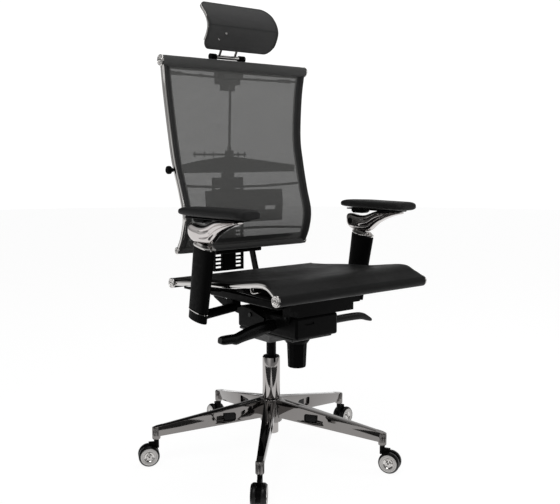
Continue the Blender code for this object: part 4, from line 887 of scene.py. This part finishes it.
def make_back_cloth():
    """The see-through mesh, its hems at both ends, and the cloth round the two rolls."""
    top, bottom = 1.1195, 0.618
    rows = []
    count = 60
    across = [-1 + j / 14 for j in range(29)]
    for i in range(count + 1):
        z = mix(top, bottom, i / count)
        half, y = back_at(z)
        half -= 0.0185
        bow = 0.0035 * math.sin(math.pi * i / count) * (1 - 0.5 * lumbar_place(z))
        rows.append([(half * u, y - 0.0008 + bow * (1 - u * u), z) for u in across])
    cloth = piece("back_cloth", lambda bm: cloth_sheet(bm, rows, 0.001), "mesh_back", "backrest",
                  "back_mesh", ["back_mesh"])

    def edge(bm, upper, lower):
        strip = []
        for i in range(7):
            z = mix(upper, lower, i / 6)
            half, y = back_at(z)
            half -= 0.018
            strip.append([(half * u, y, z) for u in across])
        cloth_sheet(bm, strip, 0.0022)

    piece("back_top_hem", lambda bm: edge(bm, 1.1225, 1.112), "hem", "backrest", "back_mesh")
    piece("back_bottom_hem", lambda bm: edge(bm, 0.637, 0.615), "hem", "backrest", "back_mesh")

    for name, place, radius, reach, replaced in (
            ("back_top_cover", BACK_TOP, TOP_ROLL_RADIUS - 0.0003, 0.2574, "back_top_roll"),
            ("back_bottom_cover", BACK_BOTTOM, BOTTOM_ROLL_RADIUS + 0.0008, 0.2334, "back_bottom_roll")):
        def roll(bm, place=place, radius=radius, reach=reach):
            rings = []
            for i in range(61):
                x = mix(-reach, reach, i / 60)
                r = radius - {0: 0.001, 1: 0.0003}.get(min(i, 60 - i), 0.0)
                ring = []
                for k in range(48):
                    angle = 2 * math.pi * k / 48
                    fold = 0.00025 * noise.noise(Vector((x * 30, math.cos(angle) * 2, math.sin(angle) * 2)))
                    seam = -0.0007 * math.exp(-((math.degrees(angle) - 250) / 6) ** 2)
                    out = r + fold + seam
                    ring.append((x, place[0] + out * math.cos(angle), place[1] + out * math.sin(angle)))
                rings.append(ring)
            loft(bm, rings)

        piece(name, roll, "roll_cloth", "backrest", "roll_fabric", [replaced])


# ---------------------------------------------------------------- headrest

def head_line(height):
    """The headrest's y at a height: it bows forward in the middle."""
    bottom, middle, top = (0.163, HEAD_LOW), (0.122, 1.236), (0.18, HEAD_HIGH)
    if height < middle[1]:
        share = (middle[1] - height) / (middle[1] - bottom[1])
        return mix(middle[0], bottom[0], share ** 1.8)
    return mix(middle[0], top[0], ((height - middle[1]) / (top[1] - middle[1])) ** 1.8)


def head_half(z):
    """The headrest's half width at a height, with its rounded corners."""
    edge = min(z - HEAD_LOW, HEAD_HIGH - z)
    if edge >= HEAD_CORNER:
        return HEAD_HALF
    return HEAD_HALF - HEAD_CORNER + math.sqrt(max(HEAD_CORNER ** 2 - (HEAD_CORNER - edge) ** 2, 0.0))


def head_levels(low, high, count):
    """Heights between two, closer together near the ends."""
    return [mix(low, high, 0.5 - 0.5 * math.cos(math.pi * i / count)) for i in range(count + 1)]


def make_headrest():
    """Cloth over the shell, its hem and seam, bright edge strips, two screws and the hinge."""
    rows = []
    for z in head_levels(HEAD_HIGH - 0.0015, HEAD_LOW + 0.0015, 28):
        half = head_half(z) - 0.002
        rows.append([(half * (k / 12 - 1), head_line(z), z) for k in range(25)])
    pad = piece("headrest_cloth", lambda bm: cloth_sheet(bm, rows, 0.004), "mesh_head", "headrest",
                "headrest_mesh", ["headrest_pad"])
    edge = []
    for side in (1, -1):
        levels = head_levels(HEAD_LOW, HEAD_HIGH, 24)
        for z in (levels if side > 0 else levels[::-1]):
            edge.append(Vector((side * head_half(z), head_line(z), z)))

    def hem(bm):
        rings = []
        count = len(edge)
        for i, point in enumerate(edge):
            along = (edge[(i + 1) % count] - edge[i - 1]).normalized()
            inward = Vector((0, head_line(1.24), 1.2425)) - point
            inward = (inward - along * inward.dot(along)).normalized()
            normal = along.cross(inward).normalized()
            ring = [(0.0, 0.003), (0.007, 0.0026), (0.008, 0.0), (0.007, -0.0026), (0.0, -0.003),
                    (-0.001, 0.0)]
            rings.append([point + inward * a + normal * b for a, b in ring])
        loft(bm, rings, looped=True)

    piece("headrest_hem", hem, "hem", "headrest", "headrest_mesh")

    def seam(bm):
        z = 1.2385
        half = head_half(z) - 0.004
        line = [(x * half, head_line(z) - 0.0026, z) for x in [-1 + i / 10 for i in range(21)]]
        sweep(bm, line, lambda share: oval(0.0008, 0.0008, 10), (0, 0, 1))

    piece("headrest_seam", seam, "hem", "headrest", "headrest_mesh")

    def strips(bm):
        for side in (-1, 1):
            line = []
            for i in range(17):
                z = mix(1.196, 1.296, i / 16)
                line.append((side * (head_half(z) + 0.001), head_line(z) + 0.002, z))
            sweep(bm, line, lambda share: oval(0.0014, 0.0034, 12, 3.0))

    piece("headrest_edge_strips", strips, "chrome_tube", "headrest", "chrome_trim")

    def screws(bm):
        for x, z in ((-0.0615, 1.218), (-0.08, 1.202)):
            lathe(bm, [(0.0036, -0.0008), (0.0036, 0.0006), (0.0028, 0.0014), (0.0014, 0.001),
                       (0.0008, 0.0006)], (x, head_line(z) - 0.002, z), (0, -1, 0), 20)

    piece("headrest_screws", screws, "zinc", "headrest", "chrome_trim")

    def hinge(bm):
        y, z = HEAD_HINGE
        half = [(0.0064, 0.039), (0.006, 0.0412), (0.005, 0.0418), (0.005, 0.0564), (0.0044, 0.057)]
        lathe(bm, [(r, -x) for r, x in half[::-1]] + half, (0, y, z), (1, 0, 0), 32)
        for side in (-1, 1):
            line = smooth_path([(side * 0.028, y, z), (side * 0.028, y - 0.003, z + 0.0105),
                                (side * 0.028, 0.19, 1.196)], 6)
            sweep(bm, line, lambda share: oval(0.0036, 0.0036, 18))

    piece("headrest_hinge", hinge, "chrome_tube", "headrest", "chrome_trim", ["headrest_hinge_bar"])


# ---------------------------------------------------------------- details, levers and knobs

def make_back_details():
    """The flat spring bar on the wing with its pins, and the tie rods' turnbuckles."""
    def bar(bm):
        block(bm, (-0.131, 0.1955, 0.8745), (0.06, 0.1995, 0.8795), 0.0012)
        for x in (-0.126, -0.092, -0.06, 0.03, 0.055):
            block(bm, (x - 0.0016, 0.196, 0.869), (x + 0.0016, 0.199, 0.885), 0.0008)

    piece("back_spring_bar", bar, "black_coat", "backrest", "black_steel")

    def turnbuckle(bm, side):
        for along in (0.3, 0.74):
            x = side * mix(0.0422, 0.232, along)
            y = mix(0.203, 0.169, along)
            lathe(bm, [(0.0032, 0.0), (0.0056, 0.001), (0.0056, 0.011), (0.0032, 0.012)],
                  (x, y, TIE_ROD_Z), (side * 0.984, -0.176, 0), 24)

    for name, side in SIDES:
        piece("turnbuckles_" + name, lambda bm, side=side: turnbuckle(bm, side), "zinc", "backrest",
              "chrome_trim")


def make_levers():
    """Paddle levers, each a root that widens into a curved blade, and the lumbar knob's grip."""
    stations = {
        "lift_lever": (-1, -0.113, [(0.079, 0.418, 0.0138, 0.0085), (0.105, 0.415, 0.0168, 0.01),
                                    (0.14, 0.4095, 0.0182, 0.0105), (0.175, 0.4035, 0.016, 0.0105),
                                    (0.2, 0.3975, 0.014, 0.0105), (0.211, 0.3955, 0.0142, 0.0105),
                                    (0.224, 0.3975, 0.0124, 0.0108), (0.25, 0.3982, 0.0114, 0.0108),
                                    (0.2605, 0.3993, 0.008, 0.009)]),
        "tilt_lever": (1, -0.15, [(0.079, 0.413, 0.0105, 0.008), (0.12, 0.413, 0.0105, 0.009),
                                   (0.165, 0.413, 0.0104, 0.01), (0.2, 0.412, 0.0104, 0.0108),
                                   (0.218, 0.4095, 0.01, 0.0108), (0.236, 0.402, 0.0078, 0.0105),
                                   (0.25, 0.3955, 0.0048, 0.0095), (0.2535, 0.3938, 0.0024, 0.006)]),
    }
    for name, (side, y, spots) in stations.items():
        def lever(bm, side=side, y=y, spots=spots):
            path = smooth_path([(side * x, y, z) for x, z, _, _ in spots], 4)
            sizes = smooth_path([(h, d, 0.0) for _, _, h, d in spots], 4)

            def section(share):
                size = sizes[round(share * (len(sizes) - 1))]
                return oval(size.y, size.x, 28, 3.4)

            sweep(bm, path, section, (0, 1, 0))

        piece(name + "_blade", lever, "black_gloss", name, "black_plastic", [name])

    half, y = back_at(LUMBAR_KNOB_Z)
    grip = [(0.0055, 0.0), (0.0055, 0.008), (0.0098, 0.0082), (0.0112, 0.0095), (0.0115, 0.012),
            (0.0115, 0.0165), (0.0105, 0.019), (0.008, 0.02), (0.003, 0.0196)]
    turned("lumbar_grip", grip, ("black_plastic", "lumbar_knob", "black_plastic"), ["lumbar_knob"],
           place=(-(half + 0.0088), y, LUMBAR_KNOB_Z), axis=(-1, 0, 0), steps=72, flutes=(18, 0.0007))


# ---------------------------------------------------------------- scene

def paint_cad_nodes():
    """The CAD nodes that stay in view."""
    paint("black_coat", "mechanism_housing", "seat_plate", "recline_arms", "tie_rod_left", "tie_rod_right",
          "lumbar_band_upper", "lumbar_band_lower", "column_foot_clip", "seat_front_tube", "seat_rear_tube")
    paint("chrome_tube", "piston_rod", "centre_rod")
    paint("black_gloss", "seat_pivot_shaft", "recline_pivot_shaft")
    paint("grey_plastic", "mechanism_cover")
    paint("black_plastic", "tension_knob", "arm_foot_left", "arm_foot_right", "arm_pad_plate_left",
          "arm_pad_plate_right", "back_carrier", "back_rack", "back_wing", "top_bracket", "lumbar_plate",
          "headrest_carrier", "headrest_shell", *[f"caster_{i}_housing" for i in range(1, 6)])


def plain_material(name, grey):
    """A matt grey material for the stage."""
    material = bpy.data.materials.new(name)
    material.use_nodes = True
    shader = material.node_tree.nodes["Principled BSDF"]
    shader.inputs["Base Color"].default_value = (grey, grey, grey, 1.0)
    shader.inputs["Roughness"].default_value = 0.9
    return material, shader


def flat_card(name, corners, material):
    """One flat face that stands on the stage."""
    mesh = bpy.data.meshes.new(name)
    mesh.from_pydata(corners, [], [tuple(range(len(corners)))])
    mesh.materials.append(material)
    card = linked(name, mesh)
    return card


def make_flags():
    """Two dark cards laid just above the floor before the chair, with a bright slit between them.

    They are hidden from the camera and from diffuse, shadow and transmission rays, so only the
    chrome's and the other glossy reflections show them.
    """
    toward = Vector(TOWARDS_CAMERA)
    sideways = Vector(ACROSS_VIEW)
    lift = Vector((0, 0, 0.001))
    for name, start, end in (("flag_left", -4.0, -0.11), ("flag_right", 0.11, 4.0)):
        corners = [toward * t + sideways * u + lift
                   for t, u in ((0.37, start), (0.37, end), (8.0, end), (8.0, start))]
        flag = flat_card(name, corners, plain_material(name, 0.05)[0])
        flag.visible_camera = False
        flag.visible_diffuse = False
        flag.visible_shadow = False
        flag.visible_transmission = False


def make_stage():
    """A pale self-lit floor, dark cards, soft lamps, and light and dark panels all round.

    The camera sees the world as plain white; only other rays see the panels.
    """
    material, shader = plain_material("floor", 0.14)
    shader.inputs["Specular IOR Level"].default_value = 0.1
    shader.inputs["Emission Color"].default_value = (1.0, 1.0, 1.0, 1.0)
    shader.inputs["Emission Strength"].default_value = 0.94
    angles = [2 * math.pi * i / 64 for i in range(64)]
    flat_card("floor", [(12 * math.cos(a), 12 * math.sin(a), 0.0) for a in angles], material)
    make_flags()

    world = bpy.data.worlds.new("studio")
    bpy.context.scene.world = world
    world.use_nodes = True
    tree = world.node_tree
    tree.nodes.clear()
    place = node(tree, "ShaderNodeTexCoord").outputs["Generated"]
    parts = node(tree, "ShaderNodeSeparateXYZ", {"Vector": place}).outputs
    round_angle = calc(tree, "ARCTAN2", parts[0], parts[1])
    turn = calc(tree, "MULTIPLY_ADD", round_angle, 0.5 / math.pi, 0.5)
    walls = ramp(tree, turn, [(0.0, 0.35), (0.083, 0.2), (0.167, 0.8), (0.236, 0.6), (0.292, 0.08),
                              (0.361, 0.06), (0.389, 0.65), (0.439, 0.5), (0.467, 0.02), (0.6, 0.02),
                              (0.619, 0.7), (0.722, 0.85), (0.764, 0.2), (0.833, 0.08), (0.889, 0.6),
                              (1.0, 0.35)])
    height = calc(tree, "MULTIPLY_ADD", parts[2], 0.5, 0.5)
    level = ramp(tree, height, [(0.0, 0.5), (0.5, 0.7), (0.6, 1.0), (0.75, 0.8), (0.87, 0.25), (1.0, 0.25)])
    band = ramp(tree, height, [(0.4, 0.2), (0.5, 0.3), (0.53, 0.26), (0.56, 0.0)])
    panels = node(tree, "ShaderNodeMix", {0: 1.0, 6: walls, 7: level}, data_type="RGBA",
                  blend_type="MULTIPLY").outputs[2]
    both = node(tree, "ShaderNodeMix", {0: 1.0, 6: panels, 7: band}, data_type="RGBA",
                blend_type="LIGHTEN").outputs[2]
    around = node(tree, "ShaderNodeBackground", {"Color": both, "Strength": 1.05}).outputs[0]
    plain = node(tree, "ShaderNodeBackground", {"Color": (1, 1, 1, 1), "Strength": 1.05}).outputs[0]
    seen = node(tree, "ShaderNodeLightPath").outputs["Is Camera Ray"]
    chosen = node(tree, "ShaderNodeMixShader", {0: seen, 1: around, 2: plain}).outputs[0]
    node(tree, "ShaderNodeOutputWorld", {"Surface": chosen})

    for name, place, size, power in (("key", (-1.5, -1.3, 2.7), (1.6, 1.6), 22.0),
                                     ("fill", (2.2, -1.6, 2.0), (1.0, 2.0), 9.0),
                                     ("top", (0.3, 0.2, 3.0), (1.8, 1.8), 15.0)):
        data = bpy.data.lights.new(name, "AREA")
        data.shape = "RECTANGLE"
        data.size, data.size_y = size
        data.energy = power
        lamp = linked(name, data)
        lamp.location = place
        lamp.rotation_euler = (Vector((0, 0, 0.6)) - Vector(place)).to_track_quat("-Z", "Y").to_euler()
    bpy.context.scene.view_settings.view_transform = "Standard"


def make_camera():
    data = bpy.data.cameras.new("camera")
    data.lens = CAMERA_LENS
    data.sensor_width = 36.0
    data.clip_end = 50.0
    camera = linked("camera", data)
    camera.location = COLUMN + Vector(CAMERA_PLACE)
    level = math.cos(CAMERA_PITCH)
    ahead = Vector((-math.sin(CAMERA_AZIMUTH) * level, math.cos(CAMERA_AZIMUTH) * level,
                    -math.sin(CAMERA_PITCH)))
    camera.rotation_euler = ahead.to_track_quat("-Z", "Y").to_euler()
    bpy.context.scene.camera = camera


make_camera()
make_stage()
make_materials()
paint_cad_nodes()
make_base()
for caster in range(5):
    make_caster(caster)
make_seat_rails()
make_seat_cover()
for side_name, side_sign in SIDES:
    make_arm(side_name, side_sign)
make_back_frame()
make_back_cloth()
make_headrest()
make_back_details()
make_levers()
